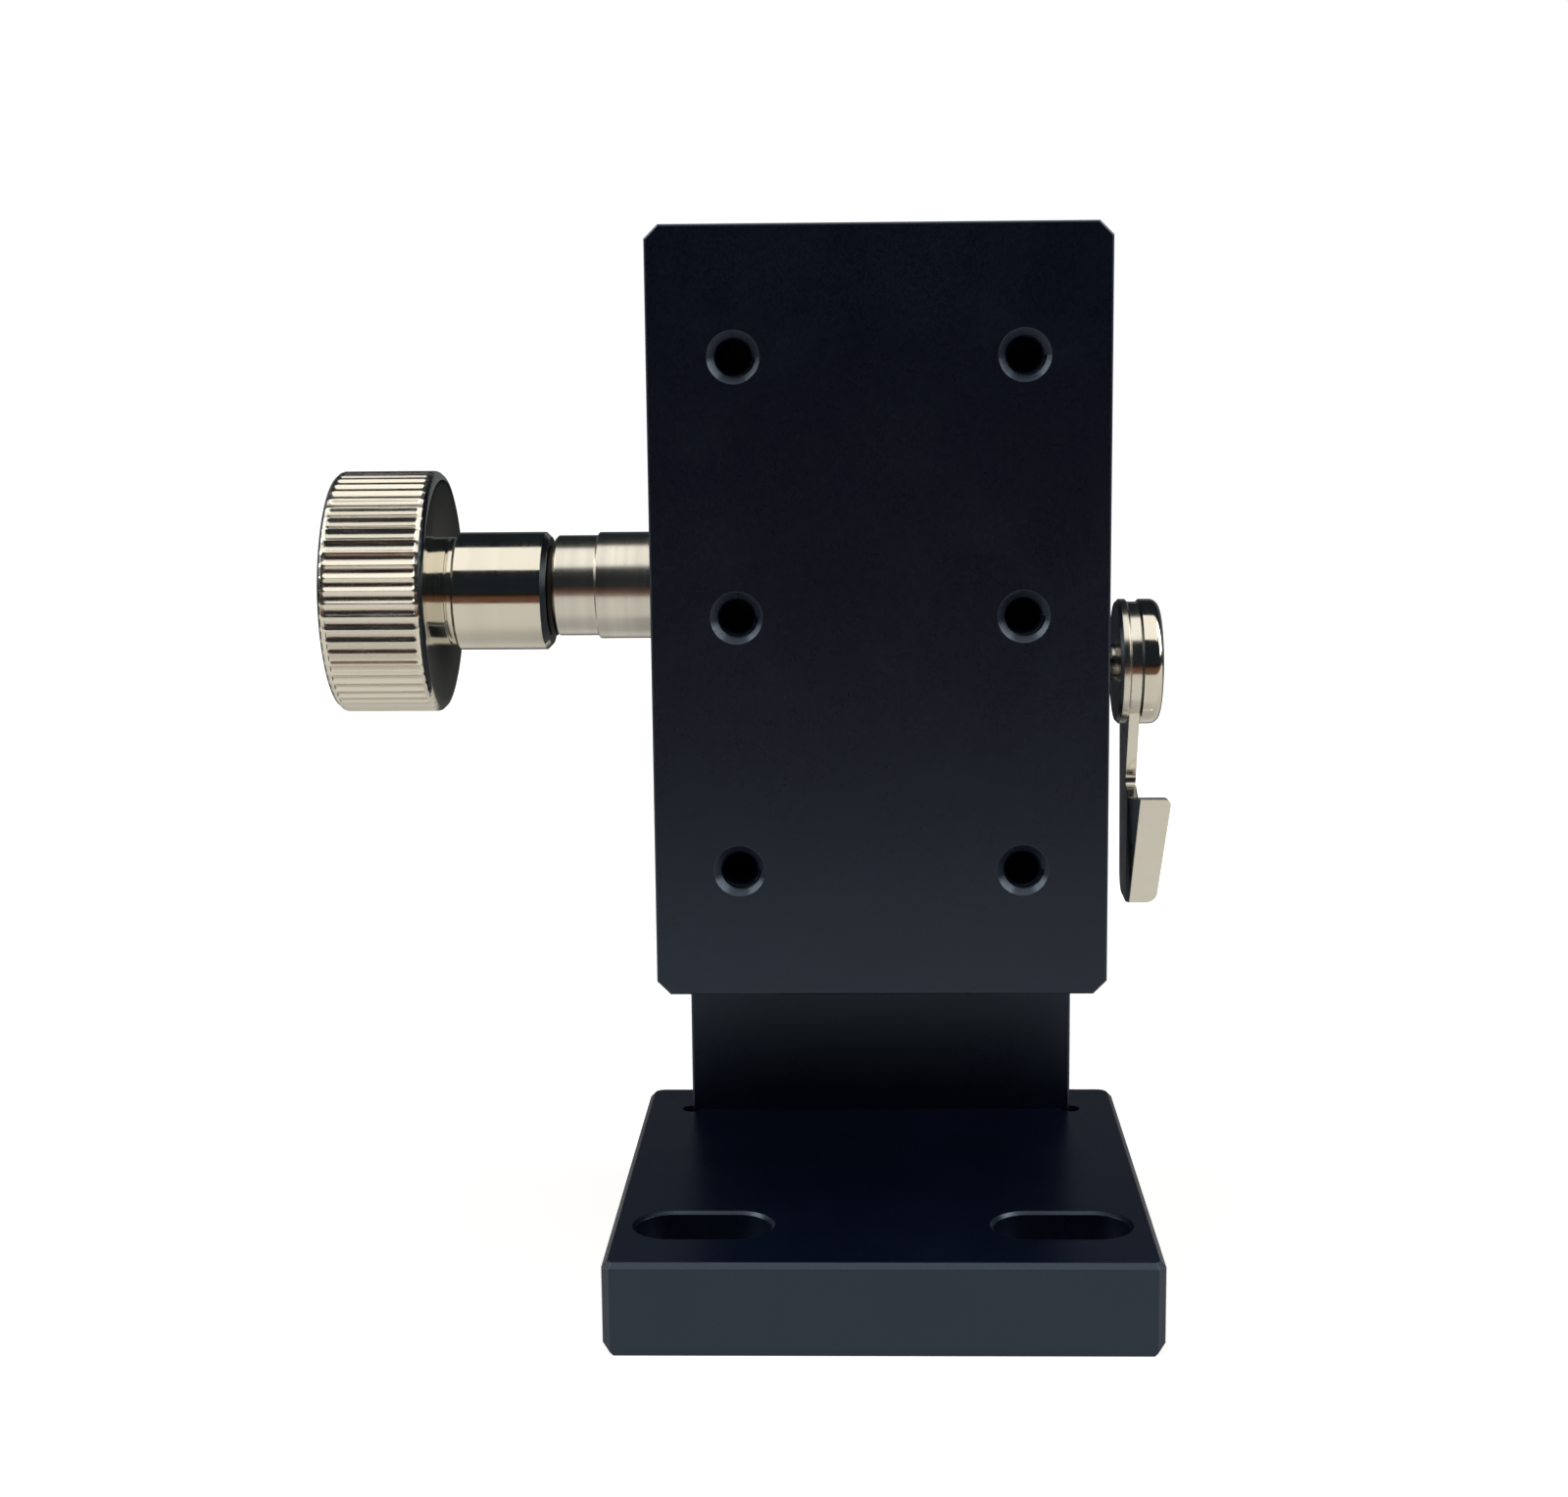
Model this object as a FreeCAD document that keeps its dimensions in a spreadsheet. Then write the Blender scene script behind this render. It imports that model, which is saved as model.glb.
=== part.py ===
"""Vertical dovetail stage on its own stand, with a rack and pinion drive and a clamp lever.

All sizes are in millimetres. The origin is the centre of the base's underside, +Z is up, the
table faces -Y and the knob is on the left, at -X. The model stands at the middle of its travel.
"""
import FreeCAD
import Part
import Sketcher
import math
import os
import re

Vector = FreeCAD.Vector
Rotation = FreeCAD.Rotation

# Driving dimensions: alias, value, meaning
SIZES = [
    # Base
    ("base_width", 50, "base plate, along X"),
    ("base_depth", 50, "base plate, along Y"),
    ("base_thickness", 8.5, "base plate, along Z"),
    ("base_edge", 0.5, "chamfer round the top of the base"),
    ("base_foot_edge", 1, "chamfer along the two lower side edges"),
    ("base_front_edge", 0.7, "chamfer of the two upright front corners"),
    ("base_back_radius", 1.5, "rounding of the two upright back corners"),
    ("slot_width", 6.6, "clearance slot for an M6 screw"),
    ("slot_travel", 6, "distance between the end centres of a slot"),
    ("slot_inset", 8.5, "middle of a slot from the side of the base"),
    ("slot_setback", 9.5, "slot centre line behind the front of the base"),
    ("slot_edge", 0.3, "chamfer round the top of a slot"),
    ("seat_depth", 1.5, "milled seat for the column"),
    ("seat_gap", 0.05, "play of the column in its seat"),
    ("relief_radius", 1, "cutter relief in the seat's front corners"),
    # Column, as wide as the table and the block
    ("stage_width", 40, "column, slide block and table, along X"),
    ("column_thickness", 7, "column, along Y"),
    ("column_edge", 0.2, "chamfer of the column's upright edges"),
    ("column_screw_spacing", 13, "between the screws from below"),
    ("column_screw_setback", 4, "those screws from the back of the column"),
    ("column_screw_length", 14, "shank of a column screw"),
    # Slide
    ("lower_clearance", 23, "from the base up to the table in mid travel"),
    ("travel", 20, "stroke from the middle to either end"),
    ("table_height", 67.5, "table, along Z"),
    ("plate_thickness", 12, "table without its dovetail, along Y"),
    ("table_setback", 5.5, "table front behind the base's front"),
    ("table_corner", 1.2, "chamfer of the table's four corners"),
    ("table_edge", 0.15, "chamfer round the table's front"),
    ("hole_inset", 7.5, "tapped holes from the table's sides"),
    ("hole_spacing_z", 22.5, "tapped holes, from row to row"),
    ("tapped_radius", 1.65, "core of an M4 thread"),
    ("tapped_depth", 10, "depth of a tapped hole in the table"),
    ("tapped_edge", 0.65, "chamfer of a tapped hole in the table"),
    ("dovetail_root", 17, "dovetail's width where it leaves the plate"),
    ("dovetail_height", 7, "dovetail, along Y"),
    ("dovetail_lean", 30, "degrees between a flank and the Y axis"),
    ("slide_gap", 0.03, "play on the dovetail's flanks"),
    ("floor_gap", 0.3, "play behind the dovetail"),
    ("face_gap", 0.5, "between the plate and the block"),
    ("block_edge", 0.4, "chamfer of the block's upright back edges"),
    ("block_screw_side", 7, "block screws from the block's sides"),
    ("block_screw_inset", 10, "block screws from the block's ends"),
    ("block_screw_length", 10, "shank of a block screw"),
    # Gib
    ("gib_thickness", 2.5, "gib, square to its flank"),
    ("gib_gap", 0.1, "between the gib and the block"),
    ("gib_end_gap", 0.5, "gib short of the block's ends"),
    ("gib_screw_low", 9.5, "lowest gib screw above the block's bottom"),
    ("gib_screw_middle", 44, "middle gib screw above the block's bottom"),
    ("gib_screw_high", 58, "highest gib screw above the block's bottom"),
    ("gib_screw_sink", 0.5, "gib screw below the block's side"),
    ("gib_point_radius", 0.75, "dog point of a gib screw"),
    ("gib_point_depth", 0.8, "dog point's dimple in the gib"),
    # Rack and pinion
    ("gear_module", 0.5, "module of the rack and pinion"),
    ("pinion_teeth", 18, "teeth of the pinion"),
    ("pressure_angle", 20, "degrees"),
    ("root_depth", 1.25, "teeth's depth below the pitch line, in modules"),
    ("backlash", 0.05, "pinion moved away from the rack"),
    ("rack_width", 5, "rack, along X"),
    ("rack_thickness", 4, "rack from its back to the tooth tips"),
    ("rack_seat", 2, "rack's slot in the dovetail"),
    ("rack_seat_gap", 0.03, "play of the rack in its slot"),
    ("rack_end_gap", 0.5, "rack short of the table's ends"),
    ("rack_screw_inset", 5, "rack screws from the rack's ends"),
    ("channel_gap", 0.6, "between the rack and its channel"),
    ("pinion_width", 6, "toothed length"),
    ("pinion_cavity", 10, "pinion's pocket, along X"),
    ("pinion_tip_gap", 0.8, "between the pinion and its pocket"),
    ("shaft_radius", 3, "pinion shaft in the eccentric bush"),
    ("shaft_end_radius", 2.5, "pinion shaft in the end bush"),
    ("running_gap", 0.03, "play of a shaft in its bush"),
    ("fit_gap", 0.02, "play of a bush in the block and of the shaft in the knob"),
    ("bush_radius", 5.2, "eccentric bush in the block"),
    ("bush_nose_radius", 4.9, "eccentric bush's turned nose"),
    ("bush_nose_length", 4.2, "length of that nose"),
    ("bush_reach", 11.4, "eccentric bush out of the block's side"),
    ("bush_offset", 0.5, "bush centre above the shaft's axis"),
    ("bush_edge", 0.3, "chamfer of the bush's ends"),
    ("end_play", 0.3, "pinion from the bushes' ends"),
    ("end_bush_radius", 4, "end bush in the block"),
    ("end_bush_length", 7, "end bush, along X"),
    ("bush_screw_offset", 6, "bush set screw from the block's left side"),
    ("bush_screw_length", 5, "bush set screw"),
    # Knob
    ("knob_radius", 11.75, "knurled head"),
    ("knob_width", 10, "knurled head, along X"),
    ("knob_edge", 0.8, "chamfer of the knurled head"),
    ("knob_grooves", 60, "grooves round the head"),
    ("groove_depth", 0.35, "depth of a groove"),
    ("groove_width", 0.62, "width of a groove at the rim"),
    ("rim_width", 1.3, "rim round the dish of the inner face"),
    ("dish_depth", 0.9, "dish of the inner face, at the neck"),
    ("neck_radius", 5.75, "neck"),
    ("neck_length", 10.6, "neck beyond the head"),
    ("neck_edge", 0.5, "chamfer at the neck's end"),
    ("neck_root_radius", 5.3, "turned root of the neck"),
    ("neck_root_length", 1.5, "turned root beyond the head"),
    ("neck_groove", 0.25, "depth and width of the ring groove in the root"),
    ("neck_gap", 0.5, "between the neck and the bush"),
    ("washer_radius", 4.4, "thrust washer"),
    ("washer_thickness", 0.4, "thrust washer"),
    ("shaft_in_knob", 12, "shaft inside the knob and its neck"),
    ("knob_screw_inset", 4, "knob set screw from the neck's end"),
    ("knob_screw_length", 2.4, "knob set screw"),
    # Clamp
    ("lock_drop", 6, "clamp axis below the pinion's axis"),
    ("stud_radius", 1.95, "clamp screw outside the block"),
    ("stud_end_gap", 0.15, "clamp screw from the pad"),
    ("pad_length", 2.4, "clamp pad, along X"),
    ("pad_depth", 1, "pad's dimple in the gib"),
    ("hub_offset", 2, "clamp flange from the block's side"),
    ("hub_radius", 5.85, "radius of the clamp's flange and cap"),
    ("hub_thickness", 1, "clamp flange"),
    ("hub_edge", 0.3, "chamfer of the flange"),
    ("lever_thickness", 1, "sheet of the lever"),
    ("lever_eye_radius", 5.6, "round end of the lever"),
    ("lever_shoulder", 5.2, "arm's edges from the axis, level with it"),
    ("lever_waist", 0.7, "arm's front edge before the axis, at the waist"),
    ("lever_waist_drop", 11.4, "waist below the axis"),
    ("lever_waist_radius", 1, "rounding of the waist"),
    ("lever_back_top", 4.2, "arm's back edge behind the axis, level with the tab's top"),
    ("lever_back_tip", 3.4, "arm's back edge behind the axis, at the tip"),
    ("lever_reach", 22.5, "tip of the lever below its axis"),
    ("lever_corner", 2, "rounding of the lever's lower back corner"),
    ("tab_top", 12.4, "top of the finger tab below the axis"),
    ("tab_front_top", 4, "finger tab before the axis, at its top"),
    ("tab_front_tip", 2.6, "finger tab before the axis, at its lower end"),
    ("tab_width_top", 4, "finger tab across its top"),
    ("tab_width_tip", 2.8, "finger tab across its lower end"),
    ("tab_bend_top", 1.1, "bevel of the tab's bend, at its top"),
    ("tab_bend_tip", 0.3, "bevel of the tab's bend, at its lower end"),
    ("tab_corner", 1, "rounding of the tab's lower corner"),
    ("tab_top_corner", 0.6, "rounding of the tab's upper corner"),
    ("spigot_side", 4, "square spigot through the lever's eye"),
    ("spigot_gap", 0.05, "play of the eye on the spigot"),
    ("cap_thickness", 2, "rounded cap"),
    ("cap_round", 0.9, "rounding of the cap"),
    ("cap_screw_length", 4, "threaded spigot of the cap"),
    # Fasteners
    ("thread_gap", 0.05, "thread core in its tapped hole"),
    ("clearance_gap", 0.25, "shank in its clearance hole"),
    ("medium_head_radius", 2.75, "M3 cap head"),
    ("medium_head_height", 3, "M3 cap head"),
    ("medium_key", 2.5, "hexagon key of an M3 cap head"),
    ("large_head_radius", 3.5, "M4 cap head"),
    ("large_head_height", 4, "M4 cap head"),
    ("large_key", 3, "hexagon key of an M4 cap head"),
    ("head_gap", 0.25, "cap head in its counterbore"),
    ("small_core", 1.25, "core of an M3 thread"),
    ("small_key", 1.5, "hexagon key of an M3 set screw"),
    ("tiny_core", 0.8, "core of an M2 thread"),
    ("tiny_head_radius", 1.9, "M2 cap head"),
    ("tiny_head_height", 1.2, "M2 low cap head"),
    ("tiny_screw_length", 4.5, "shank of a rack screw"),
    ("tiny_key", 1.3, "hexagon key of an M2 cap head"),
    ("stop_radius", 1.5, "stop pin"),
    ("stop_offset", 8, "stop pin from the middle, along X"),
    ("stop_rise", 10, "stop pin above the pinion's axis"),
    ("stop_seat", 5, "stop pin in the block"),
    ("stop_slot_depth", 1.5, "slot for the stop pin"),
    ("stop_gap", 0.1, "play round the stop pin"),
]

# Places that follow from the sizes: alias and formula
PLACES = [
    ("base_front", "-base_depth / 2"),
    ("base_back", "base_depth / 2"),
    ("seat_floor", "base_thickness - seat_depth"),
    ("column_front", "base_back - column_thickness"),
    ("table_bottom", "base_thickness + lower_clearance"),
    ("table_top", "table_bottom + table_height"),
    ("pinion_z", "table_bottom + table_height / 2"),
    ("table_front", "base_front + table_setback"),
    ("plate_back", "table_front + plate_thickness"),
    ("dovetail_back", "plate_back + dovetail_height"),
    ("block_front", "plate_back + face_gap"),
    ("groove_floor", "dovetail_back + floor_gap"),
    ("lean", "tan(dovetail_lean)"),
    ("slide_play", "slide_gap / cos(dovetail_lean)"),
    ("gib_across", "gib_thickness / cos(dovetail_lean)"),
    ("gib_play", "gib_gap / cos(dovetail_lean)"),
    ("dovetail_foot", "dovetail_root / 2 + dovetail_height * lean"),
    ("flank_at_axis", "dovetail_root / 2 + dovetail_height / 2 * lean"),
    ("gib_outside", "flank_at_axis + slide_play + gib_across"),
    ("rack_back", "dovetail_back - rack_seat"),
    ("rack_tip", "rack_back + rack_thickness"),
    ("pitch_radius", "gear_module * pinion_teeth / 2"),
    ("pinion_y", "rack_tip - gear_module + pitch_radius + backlash"),
    ("bush_z", "pinion_z + bush_offset"),
    ("lock_y", "plate_back + dovetail_height / 2"),
    ("lock_z", "pinion_z - lock_drop"),
    ("bush_outer_end", "-stage_width / 2 - bush_reach"),
    ("bush_inner_end", "-pinion_width / 2 - end_play"),
    ("neck_end", "bush_outer_end - neck_gap"),
    ("knob_inner", "neck_end - neck_length"),
    ("hub_inner", "stage_width / 2 + hub_offset"),
    ("lever_inner", "hub_inner + hub_thickness"),
    ("lever_outer", "lever_inner + lever_thickness"),
    ("stop_z", "pinion_z + stop_rise"),
]

SIZE_NAMES = {row[0] for row in SIZES}
PLACE_NAMES = {row[0] for row in PLACES}
AXIS_TURNS = {
    "+X": Rotation(Vector(0, 1, 0), 90),
    "-X": Rotation(Vector(0, 1, 0), -90),
    "+Y": Rotation(Vector(1, 0, 0), -90),
    "-Y": Rotation(Vector(1, 0, 0), 90),
    "+Z": Rotation(),
    "-Z": Rotation(Vector(1, 0, 0), 180),
}
BEYOND = 1  # how far a cutting tool runs past the face that it enters by
NEAR = 1e-4  # how near two places are that count as one

doc = FreeCAD.newDocument("vertical_stage")


def formula(text):
    """Writes each size and place in a formula with the name of the sheet that holds it."""
    def with_sheet(found):
        word = found.group(0)
        if word in SIZE_NAMES:
            return "Sizes." + word
        if word in PLACE_NAMES:
            return "Places." + word
        return word
    return re.sub(r"[a-z]+(_[a-z]+)*", with_sheet, str(text))


def fill_sheets():
    """Puts the driving sizes in one sheet and the places that follow from them in another."""
    sizes = doc.addObject("Spreadsheet::Sheet", "Sizes")
    for row, (alias, number, meaning) in enumerate(SIZES, start=1):
        sizes.set("A%d" % row, meaning)
        sizes.set("B%d" % row, str(number))
        sizes.setAlias("B%d" % row, alias)
    doc.recompute()
    places = doc.addObject("Spreadsheet::Sheet", "Places")
    for row, (alias, text) in enumerate(PLACES, start=1):
        places.set("B%d" % row, "=" + formula(text).replace("Places.", ""))
        places.setAlias("B%d" % row, alias)
        doc.recompute()
    return sizes


def value(text):
    """The number that a formula gives now."""
    return float(sheet.evalExpression(formula(text)))


def bind(thing, path, text):
    """Ties a property to a formula."""
    thing.setExpression(path, formula(text))


def bind_place(thing, at, path="Placement"):
    """Ties a position to three formulas."""
    for letter, text in zip("xyz", at):
        bind(thing, "%s.Base.%s" % (path, letter), text)


def part(kind, name, at=(0, 0, 0), axis="+Z", **properties):
    """Part primitive whose own Z axis points along the axis named."""
    thing = doc.addObject("Part::" + kind, name)
    thing.Placement = FreeCAD.Placement(Vector(), AXIS_TURNS[axis])
    bind_place(thing, at)
    for key, text in properties.items():
        bind(thing, key, text)
    return thing


def cylinder(name, radius, length, at, axis="+Z"):
    """Round bar or drill, from its start along its axis."""
    return part("Cylinder", name, at, axis, Radius=radius, Height=length)


def box(name, corner, size):
    """Box from its lowest corner."""
    return part("Box", name, corner, Length=size[0], Width=size[1], Height=size[2])


def hexagon(name, key, length, at, axis):
    """Hexagonal bar for a key, measured across its flats."""
    bar = part("Prism", name, at, axis, Circumradius="(%s) / (2 * cos(30))" % key, Height=length)
    bar.Polygon = 6
    return bar


def fuse(name, shapes):
    """One solid from several."""
    joined = doc.addObject("Part::MultiFuse", name)
    joined.Shapes = shapes
    joined.Refine = True
    return joined


def cut(name, base, tools):
    """Base without its tools."""
    tool = tools[0] if len(tools) == 1 else fuse(name + "_tools", tools)
    rest = doc.addObject("Part::Cut", name)
    rest.Base = base
    rest.Tool = tool
    rest.Refine = True
    return rest


def bevel(name, base, kind, size, test):
    """Part chamfer or fillet of the edges that a test picks, at a size that a formula gives."""
    doc.recompute()
    dressed = doc.addObject("Part::" + kind, name)
    dressed.Base = base
    dressed.Edges = [(number, value(size), value(size)) for number in edges_where(base.Shape, test)]
    return dressed


def new_body(name, at=(0, 0, 0)):
    """Body of a milled or turned piece, with its own placement."""
    body = doc.addObject("PartDesign::Body", name)
    bind_place(body, at)
    return body


def sketch(body, name, role, loops, lift="0"):
    """Sketch on an origin plane of its body, lifted along +X, +Y or +Z.

    A loop is a list of corners, each two formulas, or ("circle", across, up, radius), or
    ("slot", across, up, travel, radius) for a slot that runs across.
    """
    drawing = body.newObject("Sketcher::SketchObject", name)
    plane = next(feature for feature in body.Origin.OriginFeatures if feature.Role == role)
    drawing.AttachmentSupport = [(plane, "")]
    drawing.MapMode = "FlatFace"
    sign = "-" if role == "XZ_Plane" else ""
    bind(drawing, "AttachmentOffset.Base.z", "%s(%s)" % (sign, lift))
    for loop in loops:
        if loop[0] == "circle":
            add_circle(drawing, *loop[1:])
        elif loop[0] == "slot":
            add_slot(drawing, *loop[1:])
        else:
            add_polygon(drawing, loop)
    return drawing


def fix_point(drawing, geometry, position, across, up):
    """Ties a point of a sketch to two formulas."""
    for kind, text in (("DistanceX", across), ("DistanceY", up)):
        number = drawing.addConstraint(
            Sketcher.Constraint(kind, -1, 1, geometry, position, value(text)))
        bind(drawing, "Constraints[%d]" % number, text)


def fix_radius(drawing, geometry, radius):
    """Ties a radius of a sketch to a formula."""
    number = drawing.addConstraint(Sketcher.Constraint("Radius", geometry, value(radius)))
    bind(drawing, "Constraints[%d]" % number, radius)


def add_polygon(drawing, corners):
    """Closed loop of straight lines through the corners."""
    points = [Vector(value(across), value(up), 0) for across, up in corners]
    first = drawing.GeometryCount
    count = len(points)
    for index, point in enumerate(points):
        drawing.addGeometry(Part.LineSegment(point, points[(index + 1) % count]), False)
    for index, (across, up) in enumerate(corners):
        following = first + (index + 1) % count
        drawing.addConstraint(Sketcher.Constraint("Coincident", first + index, 2, following, 1))
        fix_point(drawing, first + index, 1, across, up)


def add_circle(drawing, across, up, radius):
    """Circle about a tied centre."""
    centre = Vector(value(across), value(up), 0)
    number = drawing.addGeometry(Part.Circle(centre, Vector(0, 0, 1), value(radius)), False)
    fix_point(drawing, number, 3, across, up)
    fix_radius(drawing, number, radius)


def add_slot(drawing, across, up, travel, radius, upright=False):
    """Slot with two round ends, across or upright."""
    middle = Vector(value(across), value(up), 0)
    reach = value(travel) / 2
    size = value(radius)
    turn = math.pi / 2 if upright else 0
    along = Vector(math.cos(turn), math.sin(turn), 0)
    aside = Vector(-along.y, along.x, 0)
    first = drawing.GeometryCount
    ends = []
    for sign in (1, -1):
        centre = middle + along * reach * sign
        round_end = Part.Circle(centre, Vector(0, 0, 1), size)
        start = turn - math.pi / 2 if sign > 0 else turn + math.pi / 2
        drawing.addGeometry(Part.ArcOfCircle(round_end, start, start + math.pi), False)
        ends.append(centre)
    for sign in (1, -1):
        side = aside * size * sign
        drawing.addGeometry(Part.LineSegment(ends[0] + side, ends[1] + side), False)
    joints = ((0, 2, 2, 1), (2, 2, 1, 1), (1, 2, 3, 2), (3, 1, 0, 1))
    for one, end, other, start in joints:
        drawing.addConstraint(Sketcher.Constraint("Tangent", first + one, end, first + other, start))
    half = "(%s) / 2" % travel
    for index, sign in enumerate("+-"):
        reach_across = across if upright else "%s %s %s" % (across, sign, half)
        reach_up = "%s %s %s" % (up, sign, half) if upright else up
        fix_point(drawing, first + index, 3, reach_across, reach_up)
    fix_radius(drawing, first, radius)


def pad(body, drawing, length):
    """Adds material along the sketch's normal."""
    feature = body.newObject("PartDesign::Pad", drawing.Name + "_pad")
    feature.Profile = drawing
    bind(feature, "Length", length)
    return feature


def loft(body, first, second):
    """Adds the flat-sided solid between two sketches with as many corners."""
    feature = body.newObject("PartDesign::AdditiveLoft", first.Name + "_loft")
    feature.Profile = (first, [""])
    feature.Sections = [(second, [""])]
    feature.Ruled = True
    return feature


def pocket(body, name, role, loops, lift, length, forward):
    """Cuts loops to a depth, along the lifted plane's +X, +Y or +Z if forward, else against it."""
    drawing = sketch(body, name, role, loops, lift)
    feature = body.newObject("PartDesign::Pocket", name + "_cut")
    feature.Profile = drawing
    feature.Reversed = forward != (role == "XZ_Plane")
    bind(feature, "Length", length)
    doc.recompute()
    before = feature.BaseFeature.Shape.Volume
    if not before - feature.Shape.Volume > 0:
        raise RuntimeError("%s cuts nothing" % name)
    return feature


def revolve(body, name, corners):
    """Turned solid about the body's X axis, from a loop in its XZ plane."""
    drawing = sketch(body, name, "XZ_Plane", [corners])
    feature = body.newObject("PartDesign::Revolution", name + "_turn")
    feature.Profile = drawing
    feature.ReferenceAxis = (drawing, ["H_Axis"])
    feature.Angle = 360
    return feature


def dress(body, name, kind, size, test):
    """Chamfers or rounds the edges of a body that a test picks."""
    doc.recompute()
    base = body.Tip
    names = ["Edge%d" % number for number in edges_where(base.Shape, test)]
    if not names:
        raise RuntimeError("%s finds no edge" % name)
    feature = body.newObject("PartDesign::" + kind, name)
    feature.Base = (base, names)
    bind(feature, "Size" if kind == "Chamfer" else "Radius", size)
    return feature


def edges_where(shape, test):
    """Numbers of the edges that pass a test, counted from one."""
    return [number for number, edge in enumerate(shape.Edges, start=1) if test(edge)]


def on(axis, text):
    """Test for an edge that lies wholly in the plane where a coordinate has a value."""
    place = value(text)

    def test(edge):
        limits = edge.BoundBox
        low = getattr(limits, axis.upper() + "Min")
        high = getattr(limits, axis.upper() + "Max")
        return abs(low - place) < NEAR and abs(high - place) < NEAR
    return test


def both(*tests):
    """Test that passes where all of its tests pass."""
    return lambda edge: all(test(edge) for test in tests)


def either(*tests):
    """Test that passes where one of its tests passes."""
    return lambda edge: any(test(edge) for test in tests)


def is_round(radius):
    """Test for a circle of a radius."""
    size = value(radius)
    return lambda edge: hasattr(edge.Curve, "Radius") and abs(edge.Curve.Radius - size) < NEAR


def build_base_plate():
    """Base with two clearance slots, a seat for the column and counterbored holes from below."""
    body = new_body("base_plate")
    half = "base_width / 2"
    outline = [("-" + half, "base_front"), (half, "base_front"),
               (half, "base_back"), ("-" + half, "base_back")]
    pad(body, sketch(body, "base_outline", "XY_Plane", [outline]), "base_thickness")
    upright = either(on("x", half), on("x", "-" + half))
    dress(body, "base_front_corners", "Chamfer", "base_front_edge", both(on("y", "base_front"), upright))
    dress(body, "base_back_corners", "Fillet", "base_back_radius", both(on("y", "base_back"), upright))
    inside = "(%s - base_foot_edge - %s)" % (half, BEYOND)
    outside = "(%s + %s)" % (half, BEYOND)
    feet = [[(sign + inside, "-%s" % BEYOND), (sign + outside, "-%s" % BEYOND),
             (sign + outside, "base_foot_edge + %s" % BEYOND)] for sign in ("", "-")]
    pocket(body, "base_feet", "XZ_Plane", feet, "base_front - %s" % BEYOND,
           "base_depth + 2 * %s" % BEYOND, True)
    dress(body, "base_top_edges", "Chamfer", "base_edge", on("z", "base_thickness"))
    slots = [("slot", "%s(base_width / 2 - slot_inset)" % sign, "base_front + slot_setback",
              "slot_travel", "slot_width / 2") for sign in "+-"]
    pocket(body, "base_slots", "XY_Plane", slots, "base_thickness", "base_thickness", False)
    slot_ends = both(on("z", "base_thickness"), is_round("slot_width / 2"))
    dress(body, "base_slot_edges", "Chamfer", "slot_edge", slot_ends)
    side = "stage_width / 2 + seat_gap"
    back = "base_back + %s" % BEYOND
    front = "column_front - seat_gap"
    seat = [("-(%s)" % side, front), (side, front), (side, back), ("-(%s)" % side, back)]
    pocket(body, "base_seat", "XY_Plane", [seat], "base_thickness", "seat_depth", False)
    corners = [("circle", "%s(%s)" % (sign, side), front, "relief_radius") for sign in "+-"]
    pocket(body, "base_relief", "XY_Plane", corners, "base_thickness", "seat_depth", False)
    holes = [("circle", across, depth, "small_core + clearance_gap")
             for across, depth in column_screw_places()]
    pocket(body, "base_screw_holes", "XY_Plane", holes, "0", "base_thickness", True)
    heads = [("circle", across, depth, "medium_head_radius + head_gap")
             for across, depth in column_screw_places()]
    pocket(body, "base_head_holes", "XY_Plane", heads, "0", "medium_head_height + head_gap", True)


def column_screw_places():
    """Formulas for where the column's screws stand, along X and Y."""
    return [("%d * column_screw_spacing" % step, "base_back - column_screw_setback") for step in (-1, 0, 1)]


def block_screw_places():
    """Formulas for where the block's screws are, along X and Z."""
    levels = ("table_bottom + block_screw_inset", "table_top - block_screw_inset")
    across = "(stage_width / 2 - block_screw_side)"
    return [(sign + across, level) for level in levels for sign in ("-", "")]


def gib_screw_places():
    """Formulas for the heights of the gib's screws."""
    return ["table_bottom + " + rise for rise in ("gib_screw_low", "gib_screw_middle", "gib_screw_high")]


def rack_screw_places():
    """Formulas for the heights of the rack's screws."""
    return ["table_bottom + rack_end_gap + rack_screw_inset", "table_top - rack_end_gap - rack_screw_inset"]


def build_column():
    """Upright plate that carries the slide block."""
    body = new_body("column")
    half = "stage_width / 2"
    outline = [("-" + half, "column_front"), (half, "column_front"),
               (half, "base_back"), ("-" + half, "base_back")]
    pad(body, sketch(body, "column_outline", "XY_Plane", [outline], "seat_floor"), "table_top - seat_floor")
    upright = both(either(on("x", half), on("x", "-" + half)),
                   either(on("y", "column_front"), on("y", "base_back")))
    dress(body, "column_edges", "Chamfer", "column_edge", upright)
    taps = [("circle", across, depth, "small_core") for across, depth in column_screw_places()]
    pocket(body, "column_taps", "XY_Plane", taps, "seat_floor", "column_screw_length", True)
    shanks = [("circle", across, up, "tapped_radius + thread_gap + clearance_gap")
              for across, up in block_screw_places()]
    pocket(body, "column_shank_holes", "XZ_Plane", shanks, "base_back", "column_thickness", False)
    heads = [("circle", across, up, "large_head_radius + head_gap") for across, up in block_screw_places()]
    pocket(body, "column_head_holes", "XZ_Plane", heads, "base_back", "large_head_height + head_gap", False)
    access = [("circle", "-stage_width / 2 + bush_screw_offset", "bush_z", "small_core + clearance_gap")]
    pocket(body, "column_access_hole", "XZ_Plane", access, "base_back", "column_thickness", False)


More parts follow.
